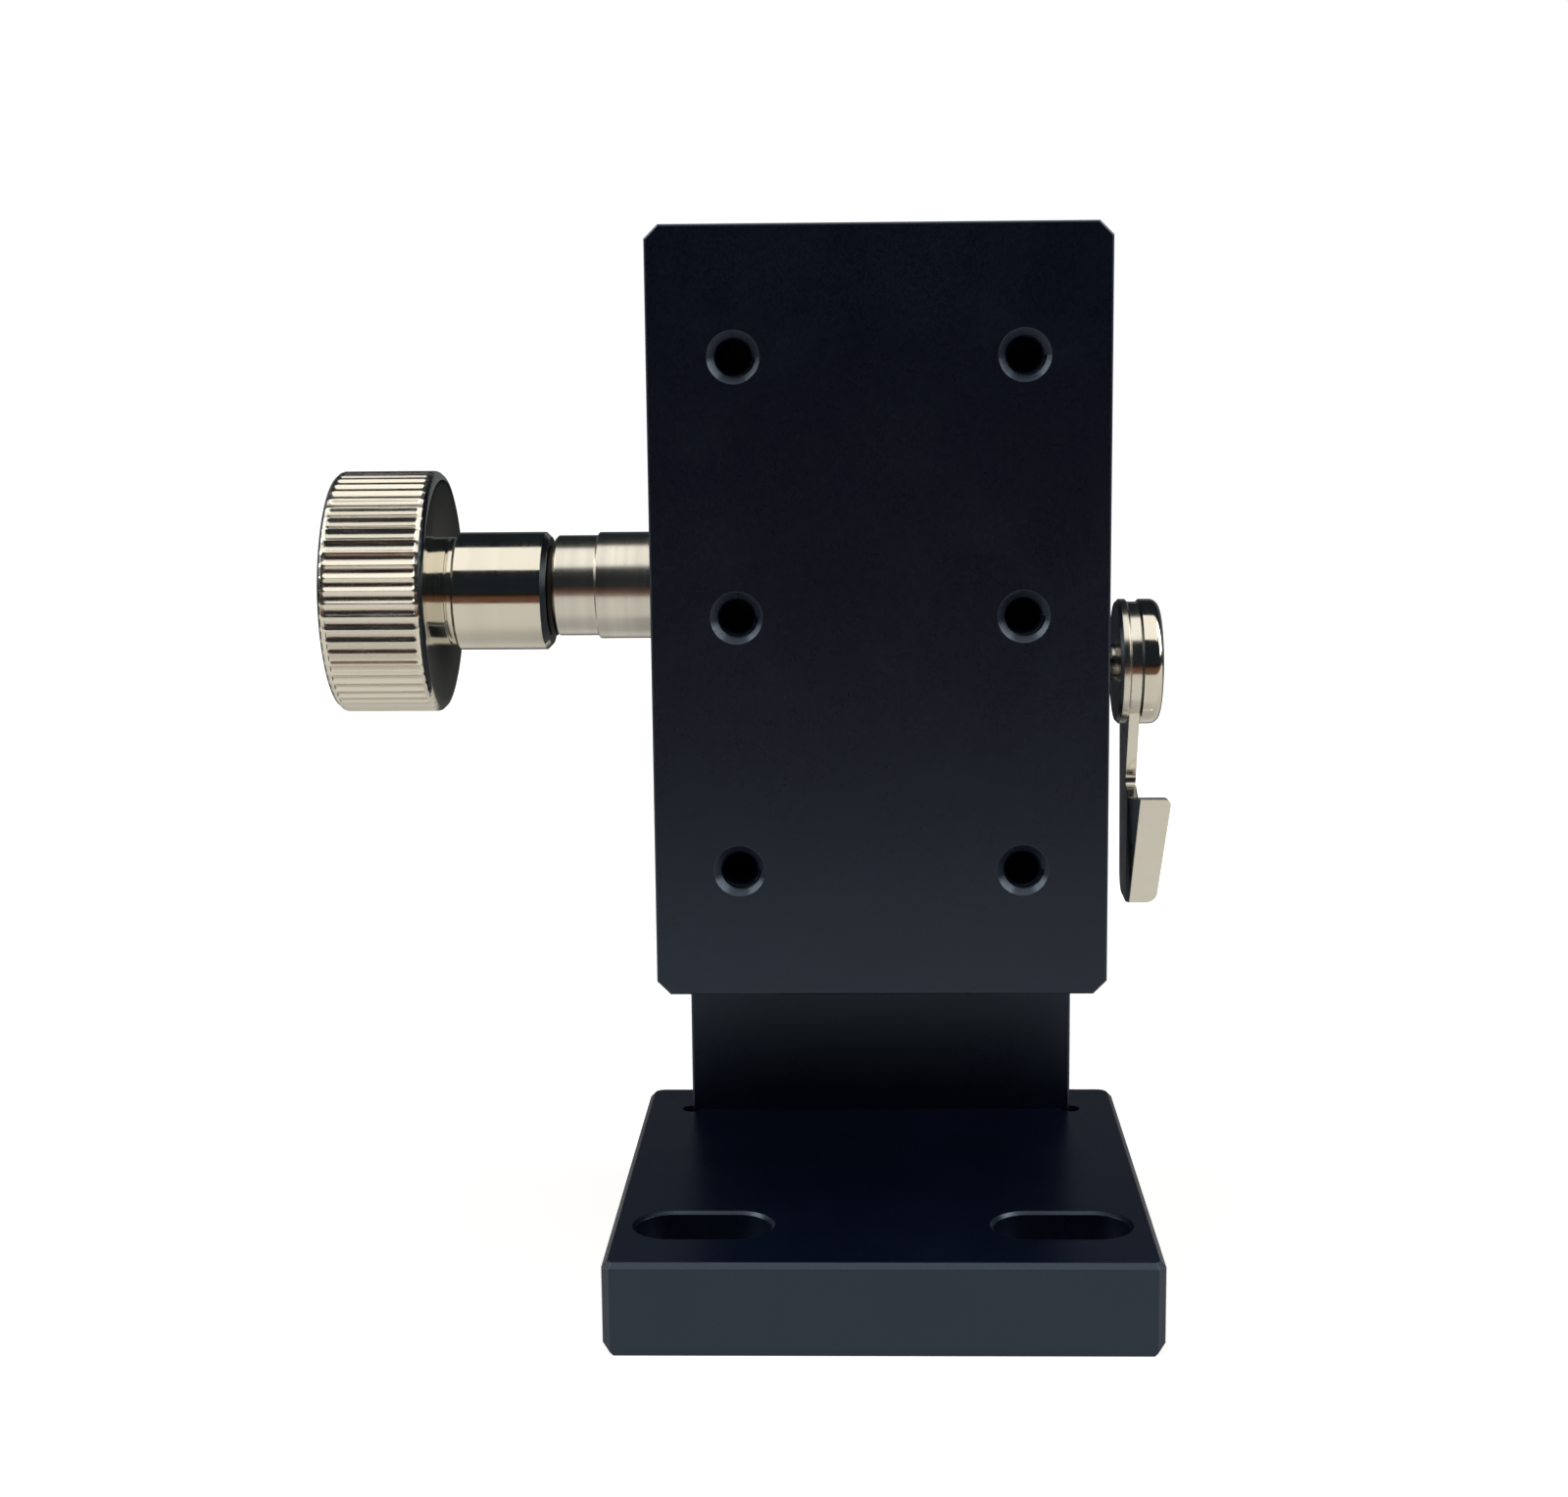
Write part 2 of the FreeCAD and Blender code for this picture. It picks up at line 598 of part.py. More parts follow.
def build_slide_block():
    """Fixed half of the slide: dovetail groove, pinion pocket, bores and tapped holes."""
    body = new_body("slide_block")
    half = "stage_width / 2"
    mouth = "dovetail_root / 2 + face_gap * lean + slide_play"
    foot = "dovetail_foot + floor_gap * lean + slide_play"
    extra = " + gib_across + gib_play"
    side = "rack_width / 2 + channel_gap"
    outline = [("-" + half, "block_front"), ("-(%s)" % mouth, "block_front"),
               ("-(%s)" % foot, "groove_floor"), ("-(%s)" % side, "groove_floor"),
               ("-(%s)" % side, "rack_tip + channel_gap"), (side, "rack_tip + channel_gap"),
               (side, "groove_floor"), (foot + extra, "groove_floor"),
               (mouth + extra, "block_front"), (half, "block_front"),
               (half, "column_front"), ("-" + half, "column_front")]
    pad(body, sketch(body, "block_outline", "XY_Plane", [outline], "table_bottom"), "table_height")
    back_edges = both(either(on("x", half), on("x", "-" + half)), on("y", "column_front"))
    dress(body, "block_edges", "Chamfer", "block_edge", back_edges)
    reach = "pitch_radius + gear_module + pinion_tip_gap"
    wide = "pinion_cavity / 2"
    cavity = [("-" + wide, "pinion_z - (%s)" % reach), (wide, "pinion_z - (%s)" % reach),
              (wide, "pinion_z + %s" % reach), ("-" + wide, "pinion_z + %s" % reach)]
    pocket(body, "block_cavity", "XZ_Plane", [cavity], "groove_floor",
           "pinion_y + %s - groove_floor" % reach, True)
    pocket(body, "block_bush_bore", "YZ_Plane", [("circle", "pinion_y", "bush_z", "bush_radius + fit_gap")],
           "-" + half, half, True)
    pocket(body, "block_end_bore", "YZ_Plane",
           [("circle", "pinion_y", "pinion_z", "end_bush_radius + fit_gap")],
           "0", "%s + end_bush_length + end_play" % wide, True)
    wall = "stage_width / 2 - gib_outside + dovetail_height / 2 * lean"
    pocket(body, "block_clamp_tap", "YZ_Plane", [("circle", "lock_y", "lock_z", "tapped_radius")],
           half, wall, False)
    taps = [("circle", "lock_y", level, "small_core") for level in gib_screw_places()]
    pocket(body, "block_gib_taps", "YZ_Plane", taps, half, wall, False)
    taps = [("circle", across, up, "tapped_radius") for across, up in block_screw_places()]
    pocket(body, "block_screw_taps", "XZ_Plane", taps, "column_front", "block_screw_length", False)
    tap = [("circle", "-stage_width / 2 + bush_screw_offset", "bush_z", "small_core")]
    pocket(body, "block_bush_tap", "XZ_Plane", tap, "column_front", "column_front - pinion_y", False)
    pin = [("circle", "stop_offset", "stop_z", "stop_radius + fit_gap")]
    pocket(body, "block_stop_hole", "XZ_Plane", pin, "groove_floor", "stop_seat", True)


def build_table():
    """Moving table: front plate with tapped holes and the male dovetail, milled in one piece."""
    body = new_body("table")
    half = "stage_width / 2"
    root = "dovetail_root / 2"
    seat = "rack_width / 2 + rack_seat_gap"
    outline = [("-" + half, "table_front"), (half, "table_front"), (half, "plate_back"),
               (root, "plate_back"), ("dovetail_foot", "dovetail_back"), (seat, "dovetail_back"),
               (seat, "rack_back"), ("-(%s)" % seat, "rack_back"), ("-(%s)" % seat, "dovetail_back"),
               ("-dovetail_foot", "dovetail_back"), ("-" + root, "plate_back"), ("-" + half, "plate_back")]
    pad(body, sketch(body, "table_outline", "XY_Plane", [outline], "table_bottom"), "table_height")
    corners = both(either(on("x", half), on("x", "-" + half)),
                   either(on("z", "table_bottom"), on("z", "table_top")))
    dress(body, "table_corners", "Chamfer", "table_corner", corners)
    dress(body, "table_front_edges", "Chamfer", "table_edge", on("y", "table_front"))
    column = "(stage_width / 2 - hole_inset)"
    holes = [("circle", sign + column, "pinion_z + %d * hole_spacing_z" % row, "tapped_radius")
             for row in (-1, 0, 1) for sign in ("-", "")]
    pocket(body, "table_holes", "XZ_Plane", holes, "table_front", "tapped_depth", True)
    dress(body, "table_hole_edges", "Chamfer", "tapped_edge",
          both(on("y", "table_front"), is_round("tapped_radius")))
    taps = [("circle", "0", level, "tiny_core") for level in rack_screw_places()]
    pocket(body, "table_rack_taps", "XZ_Plane", taps, "rack_back", "tiny_screw_length", False)
    slot = [("slot", "stop_offset", "stop_z", "2 * travel", "stop_radius + stop_gap", True)]
    pocket(body, "table_stop_slot", "XZ_Plane", slot, "dovetail_back", "stop_slot_depth", False)


def build_gib():
    """Strip between the dovetail's right flank and the block, with dimples for its screws."""
    body = new_body("gib")
    near = "dovetail_root / 2 + slide_play"
    low = "block_front"
    high = "dovetail_back"
    outline = [("%s + face_gap * lean" % near, low),
               ("%s + face_gap * lean + gib_across" % near, low),
               ("%s + dovetail_height * lean + gib_across" % near, high),
               ("%s + dovetail_height * lean" % near, high)]
    pad(body, sketch(body, "gib_outline", "XY_Plane", [outline], "table_bottom + gib_end_gap"),
        "table_height - 2 * gib_end_gap")
    reach = "dovetail_height / 2 * lean"
    dimples = [("circle", "lock_y", level, "gib_point_radius + clearance_gap")
               for level in gib_screw_places()]
    pocket(body, "gib_dimples", "YZ_Plane", dimples, "gib_outside + %s" % reach,
           "gib_point_depth + %s" % reach, False)
    seat = [("circle", "lock_y", "lock_z", "tapped_radius")]
    pocket(body, "gib_pad_seat", "YZ_Plane", seat, "gib_outside + %s" % reach,
           "pad_depth + %s" % reach, False)


def tooth_space(depth_below, lift_above):
    """Outline of one tooth space of the rack, about its pitch line, wide side out."""
    gear_module = value("gear_module")
    slope = math.tan(math.radians(value("pressure_angle")))
    quarter = math.pi * gear_module / 4
    return [(-quarter - lift_above * slope, lift_above), (-quarter + depth_below * slope, -depth_below),
            (quarter - depth_below * slope, -depth_below), (quarter + lift_above * slope, lift_above)]


def involute_point(base_radius, radius, turn):
    """Point of an involute at a radius, turned about the axis."""
    roll = math.sqrt(max((radius / base_radius) ** 2 - 1, 0))
    angle = turn + roll - math.atan(roll)
    return Vector(0, radius * math.cos(angle), radius * math.sin(angle))


def pinion_space(base_radius, root_radius, outer_radius, half_tooth):
    """Outline of the space between two teeth, open at the top, in the YZ plane."""
    step = 2 * math.pi / value("pinion_teeth")
    start = max(base_radius, root_radius)
    radii = [start + (outer_radius - start) * share for share in (0, 0.5, 1)]
    low_side = [involute_point(base_radius, radius, -half_tooth) for radius in radii]
    right = [Vector(0, point.y, -point.z) for point in low_side]
    turn = Rotation(Vector(1, 0, 0), math.degrees(step))
    left = [turn.multVec(point) for point in low_side]
    middle = Rotation(Vector(1, 0, 0), math.degrees(step / 2))
    floor_right = Vector(0, root_radius, 0)
    floor = [Rotation(Vector(1, 0, 0), math.degrees(math.atan2(point.z, point.y))).multVec(floor_right)
             for point in (right[0], left[0])]
    bottom = Part.Arc(floor[0], middle.multVec(floor_right), floor[1]).toShape()
    edges = [Part.Arc(*right).toShape(), Part.Arc(*left).toShape(), bottom]
    edges.append(Part.LineSegment(right[2], left[2]).toShape())
    for point, corner in zip((right[0], left[0]), floor):
        if (point - corner).Length > NEAR:
            edges.append(Part.LineSegment(corner, point).toShape())
    return Part.Face(Part.Wire(Part.__sortEdges__(edges)))


def build_rack():
    """Rack with straight-sided teeth and two counterbored holes."""
    length = value("table_height - 2 * rack_end_gap")
    pitch = math.pi * value("gear_module")
    width = value("rack_width")
    pitch_line = value("rack_tip - gear_module")
    middle = value("pinion_z")
    count = int(length / pitch / 2) + 1
    outline = tooth_space(value("root_depth * gear_module"), value("2 * gear_module"))
    spaces = []
    for step in range(-count, count + 1):
        level = middle + step * pitch
        corners = [Vector(-width, pitch_line + out, level + along) for along, out in outline]
        face = Part.Face(Part.makePolygon(corners + corners[:1]))
        spaces.append(face.extrude(Vector(2 * width, 0, 0)))
    tools = doc.addObject("Part::Feature", "rack_spaces")
    tools.Shape = Part.makeCompound(spaces)
    bar = box("rack_bar", ("-rack_width / 2", "rack_back", "table_bottom + rack_end_gap"),
              ("rack_width", "rack_thickness", "table_height - 2 * rack_end_gap"))
    toothed = cut("rack_toothed", bar, [tools])
    drills = []
    for number, level in enumerate(rack_screw_places(), start=1):
        drills.append(cylinder("rack_hole_%d" % number, "tiny_core + thread_gap",
                               "rack_thickness", ("0", "rack_back", level), "+Y"))
        drills.append(cylinder("rack_counterbore_%d" % number, "tiny_head_radius + thread_gap",
                               "tiny_head_height + rack_seat", ("0", rack_head_place(), level), "+Y"))
    cut("rack", toothed, drills)


def rack_head_place():
    """Formula for the seat of a rack screw's head, along Y."""
    return "rack_tip - (1 + root_depth) * gear_module - tiny_head_height"


def build_pinion_shaft():
    """Shaft with the pinion cut on it, from the knob to the end bush."""
    outer = value("pitch_radius + gear_module")
    base_radius = value("pitch_radius") * math.cos(math.radians(value("pressure_angle")))
    root_radius = value("pitch_radius - root_depth * gear_module")
    roll = math.tan(math.radians(value("pressure_angle"))) - math.radians(value("pressure_angle"))
    half_tooth = math.pi / (2 * value("pinion_teeth")) + roll
    profile = pinion_space(base_radius, root_radius, outer + value("gear_module") / 2, half_tooth)
    profile.translate(Vector(value("-pinion_width / 2"), 0, 0))
    profile.rotate(Vector(), Vector(1, 0, 0), 180)
    space = profile.extrude(Vector(value("pinion_width"), 0, 0))
    spaces = []
    for step in range(int(value("pinion_teeth"))):
        turned = space.copy()
        turned.rotate(Vector(), Vector(1, 0, 0), step * 360 / value("pinion_teeth"))
        spaces.append(turned)
    tools = doc.addObject("Part::Feature", "pinion_spaces")
    tools.Shape = Part.makeCompound(spaces)
    tools.Placement = FreeCAD.Placement(Vector(0, value("pinion_y"), value("pinion_z")), Rotation())
    blank = cylinder("pinion_blank", "pitch_radius + gear_module", "pinion_width",
                     ("-pinion_width / 2", "pinion_y", "pinion_z"), "+X")
    wheel = cut("pinion_wheel", blank, [tools])
    long_end = cylinder("shaft_long_end", "shaft_radius", "-neck_end + shaft_in_knob",
                        ("neck_end - shaft_in_knob", "pinion_y", "pinion_z"), "+X")
    short_end = cylinder("shaft_short_end", "shaft_end_radius",
                         "pinion_cavity / 2 + end_bush_length - end_play",
                         ("0", "pinion_y", "pinion_z"), "+X")
    fuse("pinion_shaft", [wheel, long_end, short_end])


def build_bushes():
    """Eccentric bush with its nose, the plain end bush and the thrust washer."""
    barrel = cylinder("bush_barrel", "bush_radius", "bush_inner_end - bush_outer_end - bush_nose_length",
                      ("bush_outer_end + bush_nose_length", "pinion_y", "bush_z"), "+X")
    nose = cylinder("bush_nose", "bush_nose_radius", "bush_nose_length",
                    ("bush_outer_end", "pinion_y", "bush_z"), "+X")
    solid = fuse("bush_solid", [barrel, nose])
    outer_rim = either(both(on("x", "bush_outer_end"), is_round("bush_nose_radius")),
                       both(on("x", "bush_inner_end"), is_round("bush_radius")))
    edged = bevel("bush_edged", solid, "Chamfer", "bush_edge", outer_rim)
    bore = cylinder("bush_bore", "shaft_radius + running_gap", "bush_inner_end - bush_outer_end",
                    ("bush_outer_end", "pinion_y", "pinion_z"), "+X")
    cut("pinion_bush", edged, [bore])
    ring = cylinder("end_bush_solid", "end_bush_radius", "end_bush_length",
                    ("pinion_cavity / 2", "pinion_y", "pinion_z"), "+X")
    bore = cylinder("end_bush_bore", "shaft_end_radius + running_gap", "end_bush_length",
                    ("pinion_cavity / 2", "pinion_y", "pinion_z"), "+X")
    cut("end_bush", ring, [bore])
    start = "neck_end + (neck_gap - washer_thickness) / 2"
    disc = cylinder("washer_disc", "washer_radius", "washer_thickness",
                    (start, "pinion_y", "pinion_z"), "+X")
    bore = cylinder("washer_bore", "shaft_radius + clearance_gap", "washer_thickness",
                    (start, "pinion_y", "pinion_z"), "+X")
    cut("thrust_washer", disc, [bore])


def build_knob():
    """Turned knob: knurled head with a dished inner face and a neck, bored for the shaft."""
    body = new_body("knob", ("0", "pinion_y", "pinion_z"))
    outer = "knob_inner - knob_width"
    bore = "shaft_radius + fit_gap"
    root_end = "knob_inner + neck_root_length"
    profile = [(outer, "0"), (outer, "knob_radius - knob_edge"), ("%s + knob_edge" % outer, "knob_radius"),
               ("knob_inner - knob_edge", "knob_radius"), ("knob_inner", "knob_radius - knob_edge"),
               ("knob_inner", "knob_radius - rim_width"), ("knob_inner - dish_depth", "neck_root_radius"),
               ("%s - 3 * neck_groove" % root_end, "neck_root_radius"),
               ("%s - 3 * neck_groove" % root_end, "neck_root_radius - neck_groove"),
               ("%s - 2 * neck_groove" % root_end, "neck_root_radius - neck_groove"),
               ("%s - 2 * neck_groove" % root_end, "neck_root_radius"),
               (root_end, "neck_root_radius"), (root_end, "neck_radius - neck_groove"),
               ("%s + neck_groove" % root_end, "neck_radius"),
               ("neck_end - neck_edge", "neck_radius"), ("neck_end", "neck_radius - neck_edge"),
               ("neck_end", bore), ("neck_end - shaft_in_knob - fit_gap", bore),
               ("neck_end - shaft_in_knob - fit_gap", "0")]
    revolve(body, "knob_profile", profile)
    half = "groove_width / 2"
    floor = "knob_radius - groove_depth"
    groove = [("-%s / 2" % half, floor), ("%s / 2" % half, floor),
              (half, "knob_radius + groove_depth / 2"), ("-" + half, "knob_radius + groove_depth / 2")]
    first = pocket(body, "knob_groove", "YZ_Plane", [groove], outer, "knob_width", True)
    ring = body.newObject("PartDesign::PolarPattern", "knob_knurl")
    ring.Originals = [first]
    axis = next(feature for feature in body.Origin.OriginFeatures if feature.Role == "X_Axis")
    ring.Axis = (axis, [""])
    ring.Angle = 360
    bind(ring, "Occurrences", "knob_grooves")
    body.Tip = ring
    tap = [("circle", "neck_end - knob_screw_inset", "0", "small_core")]
    pocket(body, "knob_tap", "XZ_Plane", tap, "0", "neck_radius + %s" % BEYOND, True)


def build_clamp():
    """Clamp screw with its flange, folded sheet lever, rounded cap and brass pad."""
    axis = ("lock_y", "lock_z")
    pad_start = "gib_outside - pad_depth"
    cylinder("clamp_pad", "tapped_radius - thread_gap", "pad_length", (pad_start,) + axis, "+X")
    stud_start = "%s + pad_length + stud_end_gap" % pad_start
    side = "stage_width / 2"
    core = cylinder("clamp_core", "tapped_radius - thread_gap", "hub_inner - (%s)" % stud_start,
                    (stud_start,) + axis, "+X")
    thread = cylinder("clamp_thread", "stud_radius", "hub_offset - thread_gap",
                      ("%s + thread_gap" % side,) + axis, "+X")
    disc = cylinder("clamp_flange_blank", "hub_radius", "hub_thickness", ("hub_inner",) + axis, "+X")
    disc_rim = both(on("x", "hub_inner"), is_round("hub_radius"))
    flange = bevel("clamp_flange", disc, "Chamfer", "hub_edge", disc_rim)
    spigot = box("clamp_spigot", ("lever_inner", "lock_y - spigot_side / 2", "lock_z - spigot_side / 2"),
                 ("lever_thickness", "spigot_side", "spigot_side"))
    blank = fuse("clamp_screw_blank", [core, thread, flange, spigot])
    bore = cylinder("clamp_cap_tap", "small_core", "cap_screw_length",
                    ("lever_outer - cap_screw_length",) + axis, "+X")
    cut("clamp_screw", blank, [bore])
    head = cylinder("clamp_cap_blank", "hub_radius", "cap_thickness", ("lever_outer",) + axis, "+X")
    rim = both(on("x", "lever_outer + cap_thickness"), is_round("hub_radius"))
    head = bevel("clamp_cap_head", head, "Fillet", "cap_round", rim)
    screw = cylinder("clamp_cap_thread", "small_core - thread_gap", "cap_screw_length - thread_gap",
                     ("lever_outer - cap_screw_length + thread_gap",) + axis, "+X")
    fuse("clamp_cap", [head, screw])
    build_lever()


def build_lever():
    """Lever: round eye, waisted arm, and a grip with a finger tab folded out along its front."""
    body = new_body("clamp_lever", ("lever_inner", "lock_y", "lock_z"))
    eye = [("circle", "0", "0", "lever_eye_radius")]
    pad(body, sketch(body, "lever_eye", "YZ_Plane", eye), "lever_thickness")
    arm = [("-lever_shoulder", "0"), ("-lever_waist", "-lever_waist_drop"),
           ("tab_bend_top - tab_front_top", "-tab_top"), ("lever_back_top", "-tab_top"),
           ("lever_shoulder", "0")]
    pad(body, sketch(body, "lever_arm", "YZ_Plane", [arm]), "lever_thickness")
    ends = [sketch(body, "lever_grip_" + end, "XY_Plane", [grip_section(end)], "-" + level)
            for end, level in (("top", "tab_top"), ("tip", "lever_reach"))]
    loft(body, *ends)
    low_back = both(on("y", "lever_back_tip"), on("z", "-lever_reach"))
    dress(body, "lever_back_corner", "Fillet", "lever_corner", low_back)
    waist = both(on("y", "-lever_waist"), on("z", "-lever_waist_drop"))
    dress(body, "lever_waist_round", "Fillet", "lever_waist_radius", waist)
    tab_low = both(on("x", "tab_width_tip"), on("z", "-lever_reach"))
    dress(body, "lever_tab_corner", "Fillet", "tab_corner", tab_low)
    tab_high = both(on("x", "tab_width_top"), on("z", "-tab_top"))
    dress(body, "lever_tab_top_corner", "Fillet", "tab_top_corner", tab_high)
    side = "spigot_side / 2 + spigot_gap"
    square = [("-(%s)" % side, "-(%s)" % side), (side, "-(%s)" % side),
              (side, side), ("-(%s)" % side, side)]
    pocket(body, "lever_square", "YZ_Plane", [square], "0", "lever_thickness", True)


def grip_section(end):
    """Corners of the folded grip at its top or its tip: sheet, bevelled bend and tab."""
    back, width, bend = "lever_back_" + end, "tab_width_" + end, "tab_bend_" + end
    front = "-tab_front_" + end
    inside = front + " + lever_thickness"
    return [("0", back), ("lever_thickness", back), ("lever_thickness", inside), (width, inside),
            (width, front), (bend, front), ("0", "%s + %s" % (front, bend))]


def cap_screw(name, at, axis, shank, length, head, height, key):
    """Socket head cap screw whose head sits at a point and whose shank points along the axis."""
    shank_bar = cylinder(name + "_shank", shank, length, at, axis)
    head_bar = cylinder(name + "_head", head, height, at, opposite(axis))
    key_start = shifted(at, axis, "-(%s) / 2" % height)
    socket = hexagon(name + "_socket", key, height, key_start, opposite(axis))
    cut(name, fuse(name + "_solid", [shank_bar, head_bar]), [socket])


def set_screw(name, at, axis, radius, length, key):
    """Socket set screw whose socket end sits at a point and whose point faces along the axis."""
    bar = cylinder(name + "_bar", radius, length, at, axis)
    socket = hexagon(name + "_socket", key, "(%s) / 2" % length, at, axis)
    cut(name, bar, [socket])


def opposite(axis):
    """The axis that points the other way."""
    return ("-" if axis[0] == "+" else "+") + axis[1]


def shifted(at, axis, text):
    """Point moved along an axis by a formula."""
    moved = list(at)
    index = "XYZ".index(axis[1])
    moved[index] = "%s %s (%s)" % (at[index], axis[0], text)
    return tuple(moved)


def build_screws():
    """All the screws and the stop pin."""
    for number, (across, depth) in enumerate(column_screw_places(), start=1):
        seat = (across, depth, "medium_head_height + head_gap")
        shank = "seat_floor - medium_head_height - head_gap + column_screw_length - %s" % BEYOND
        cap_screw("column_screw_%d" % number, seat, "+Z", "small_core - thread_gap", shank,
                  "medium_head_radius", "medium_head_height", "medium_key")
    for number, (across, level) in enumerate(block_screw_places(), start=1):
        seat = (across, "base_back - large_head_height - head_gap", level)
        shank = "column_thickness - large_head_height - head_gap + block_screw_length - %s" % BEYOND
        cap_screw("block_screw_%d" % number, seat, "-Y", "tapped_radius - thread_gap", shank,
                  "large_head_radius", "large_head_height", "large_key")
    for number, level in enumerate(rack_screw_places(), start=1):
        length = "%s - rack_back + tiny_screw_length - %s" % (rack_head_place(), BEYOND)
        cap_screw("rack_screw_%d" % number, ("0", rack_head_place(), level), "-Y",
                  "tiny_core - thread_gap", length, "tiny_head_radius", "tiny_head_height", "tiny_key")
    outer = "stage_width / 2 - gib_screw_sink"
    tip = "gib_outside - gib_point_depth"
    for number, level in enumerate(gib_screw_places(), start=1):
        name = "gib_screw_%d" % number
        shoulder = "gib_outside + dovetail_height / 2 * lean"
        bar = cylinder(name + "_bar", "small_core - thread_gap", "%s - (%s)" % (outer, shoulder),
                       (outer, "lock_y", level), "-X")
        point = cylinder(name + "_point", "gib_point_radius", "%s - (%s)" % (outer, tip),
                         (outer, "lock_y", level), "-X")
        socket = hexagon(name + "_socket", "small_key", "small_key", (outer, "lock_y", level), "-X")
        cut(name, fuse(name + "_solid", [bar, point]), [socket])
    set_screw("bush_set_screw", ("-stage_width / 2 + bush_screw_offset",
                                 "pinion_y + bush_radius + thread_gap + bush_screw_length", "bush_z"),
              "-Y", "small_core - thread_gap", "bush_screw_length", "small_key")
    set_screw("knob_set_screw", ("neck_end - knob_screw_inset",
                                 "pinion_y + shaft_radius + thread_gap + knob_screw_length", "pinion_z"),
              "-Y", "small_core - thread_gap", "knob_screw_length", "small_key")
    cylinder("stop_pin", "stop_radius", "stop_seat + floor_gap + stop_slot_depth - 2 * stop_gap",
             ("stop_offset", "groove_floor + stop_seat - stop_gap", "stop_z"), "-Y")


NODES = (
    ["base_plate", "column", "slide_block", "gib", "pinion_bush", "end_bush", "bush_set_screw",
     "clamp_pad", "stop_pin", "table", "rack", "knob", "pinion_shaft", "thrust_washer",
     "knob_set_screw", "clamp_screw", "clamp_lever", "clamp_cap"]
    + ["column_screw_%d" % number for number in (1, 2, 3)]
    + ["block_screw_%d" % number for number in (1, 2, 3, 4)]
    + ["gib_screw_%d" % number for number in (1, 2, 3)]
    + ["rack_screw_%d" % number for number in (1, 2)]
)


def check_and_write():
    """Stops at a failed object or a bad shape, then writes one file for each piece."""
    doc.recompute()
    for thing in doc.Objects:
        if "Invalid" in thing.State or "Error" in thing.State:
            raise RuntimeError("%s failed: %s" % (thing.Name, thing.State))
    os.makedirs("parts", exist_ok=True)
    for name in NODES:
        piece = doc.getObject(name)
        piece.Label = name
        shape = piece.Shape
        if shape.isNull() or not shape.isValid() or len(shape.Solids) != 1:
            raise RuntimeError("%s is not one valid solid" % name)
        print("%-16s %9.2f mm3" % (name, shape.Volume))
    for name in NODES:
        doc.getObject(name).Shape.exportStep("parts/%s.step" % name)


sheet = fill_sheets()
build_base_plate()
build_column()
build_slide_block()
build_table()
build_gib()
build_rack()
build_pinion_shaft()
build_bushes()
build_knob()
build_clamp()
build_screws()
check_and_write()
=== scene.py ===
"""Looks of a manual vertical stage with a rack and pinion drive and a clamp lever.

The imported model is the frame. It stands at the middle of its travel, the table faces -Y and the
knob is at -X. Lengths are in metres unless a name ends in _mm.
"""
import logging
import math
from collections.abc import Callable, Sequence
from dataclasses import dataclass, field
from enum import Enum

import bpy
from mathutils import Matrix, Vector


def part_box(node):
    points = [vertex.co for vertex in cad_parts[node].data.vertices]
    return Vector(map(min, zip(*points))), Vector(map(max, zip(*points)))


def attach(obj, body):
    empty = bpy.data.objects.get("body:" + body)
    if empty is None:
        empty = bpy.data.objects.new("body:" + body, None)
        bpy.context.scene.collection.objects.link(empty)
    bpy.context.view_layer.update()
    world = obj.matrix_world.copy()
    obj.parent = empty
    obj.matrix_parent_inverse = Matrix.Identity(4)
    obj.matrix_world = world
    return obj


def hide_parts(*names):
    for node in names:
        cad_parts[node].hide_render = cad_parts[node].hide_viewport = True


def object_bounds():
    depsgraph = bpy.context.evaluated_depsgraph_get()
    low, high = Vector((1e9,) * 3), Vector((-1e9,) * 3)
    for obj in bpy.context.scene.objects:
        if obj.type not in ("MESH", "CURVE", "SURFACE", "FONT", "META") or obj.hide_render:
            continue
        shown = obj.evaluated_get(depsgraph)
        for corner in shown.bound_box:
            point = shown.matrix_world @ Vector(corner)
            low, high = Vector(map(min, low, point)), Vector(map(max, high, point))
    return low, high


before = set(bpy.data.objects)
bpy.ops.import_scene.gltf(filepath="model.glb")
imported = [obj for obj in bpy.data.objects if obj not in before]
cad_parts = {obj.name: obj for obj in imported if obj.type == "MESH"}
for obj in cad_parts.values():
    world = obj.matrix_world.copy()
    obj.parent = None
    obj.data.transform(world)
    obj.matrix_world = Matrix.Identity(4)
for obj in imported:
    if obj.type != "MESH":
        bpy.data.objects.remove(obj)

CAD_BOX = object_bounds()
LOG = logging.getLogger("vertical_stage")
MM = 0.001
Colour = tuple[float, float, float]
Radius = float | Callable[[float], float]
# Range that nearly all of a noise texture's values lie in
NOISE_LOW = 0.3
NOISE_HIGH = 0.7
# Angle from which an edge of a turned piece is sharp
SHARP_DEG = 32.0


class Body(Enum):
    """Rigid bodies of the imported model."""

    STAND = "stand"
    TABLE = "table_unit"
    KNOB = "knob_unit"
    CLAMP = "clamp_unit"


class Pattern(Enum):
    """Marks that a process leaves all over a surface."""

    GRAIN = "grain"
    RINGS = "rings"
    KNURL = "knurl"


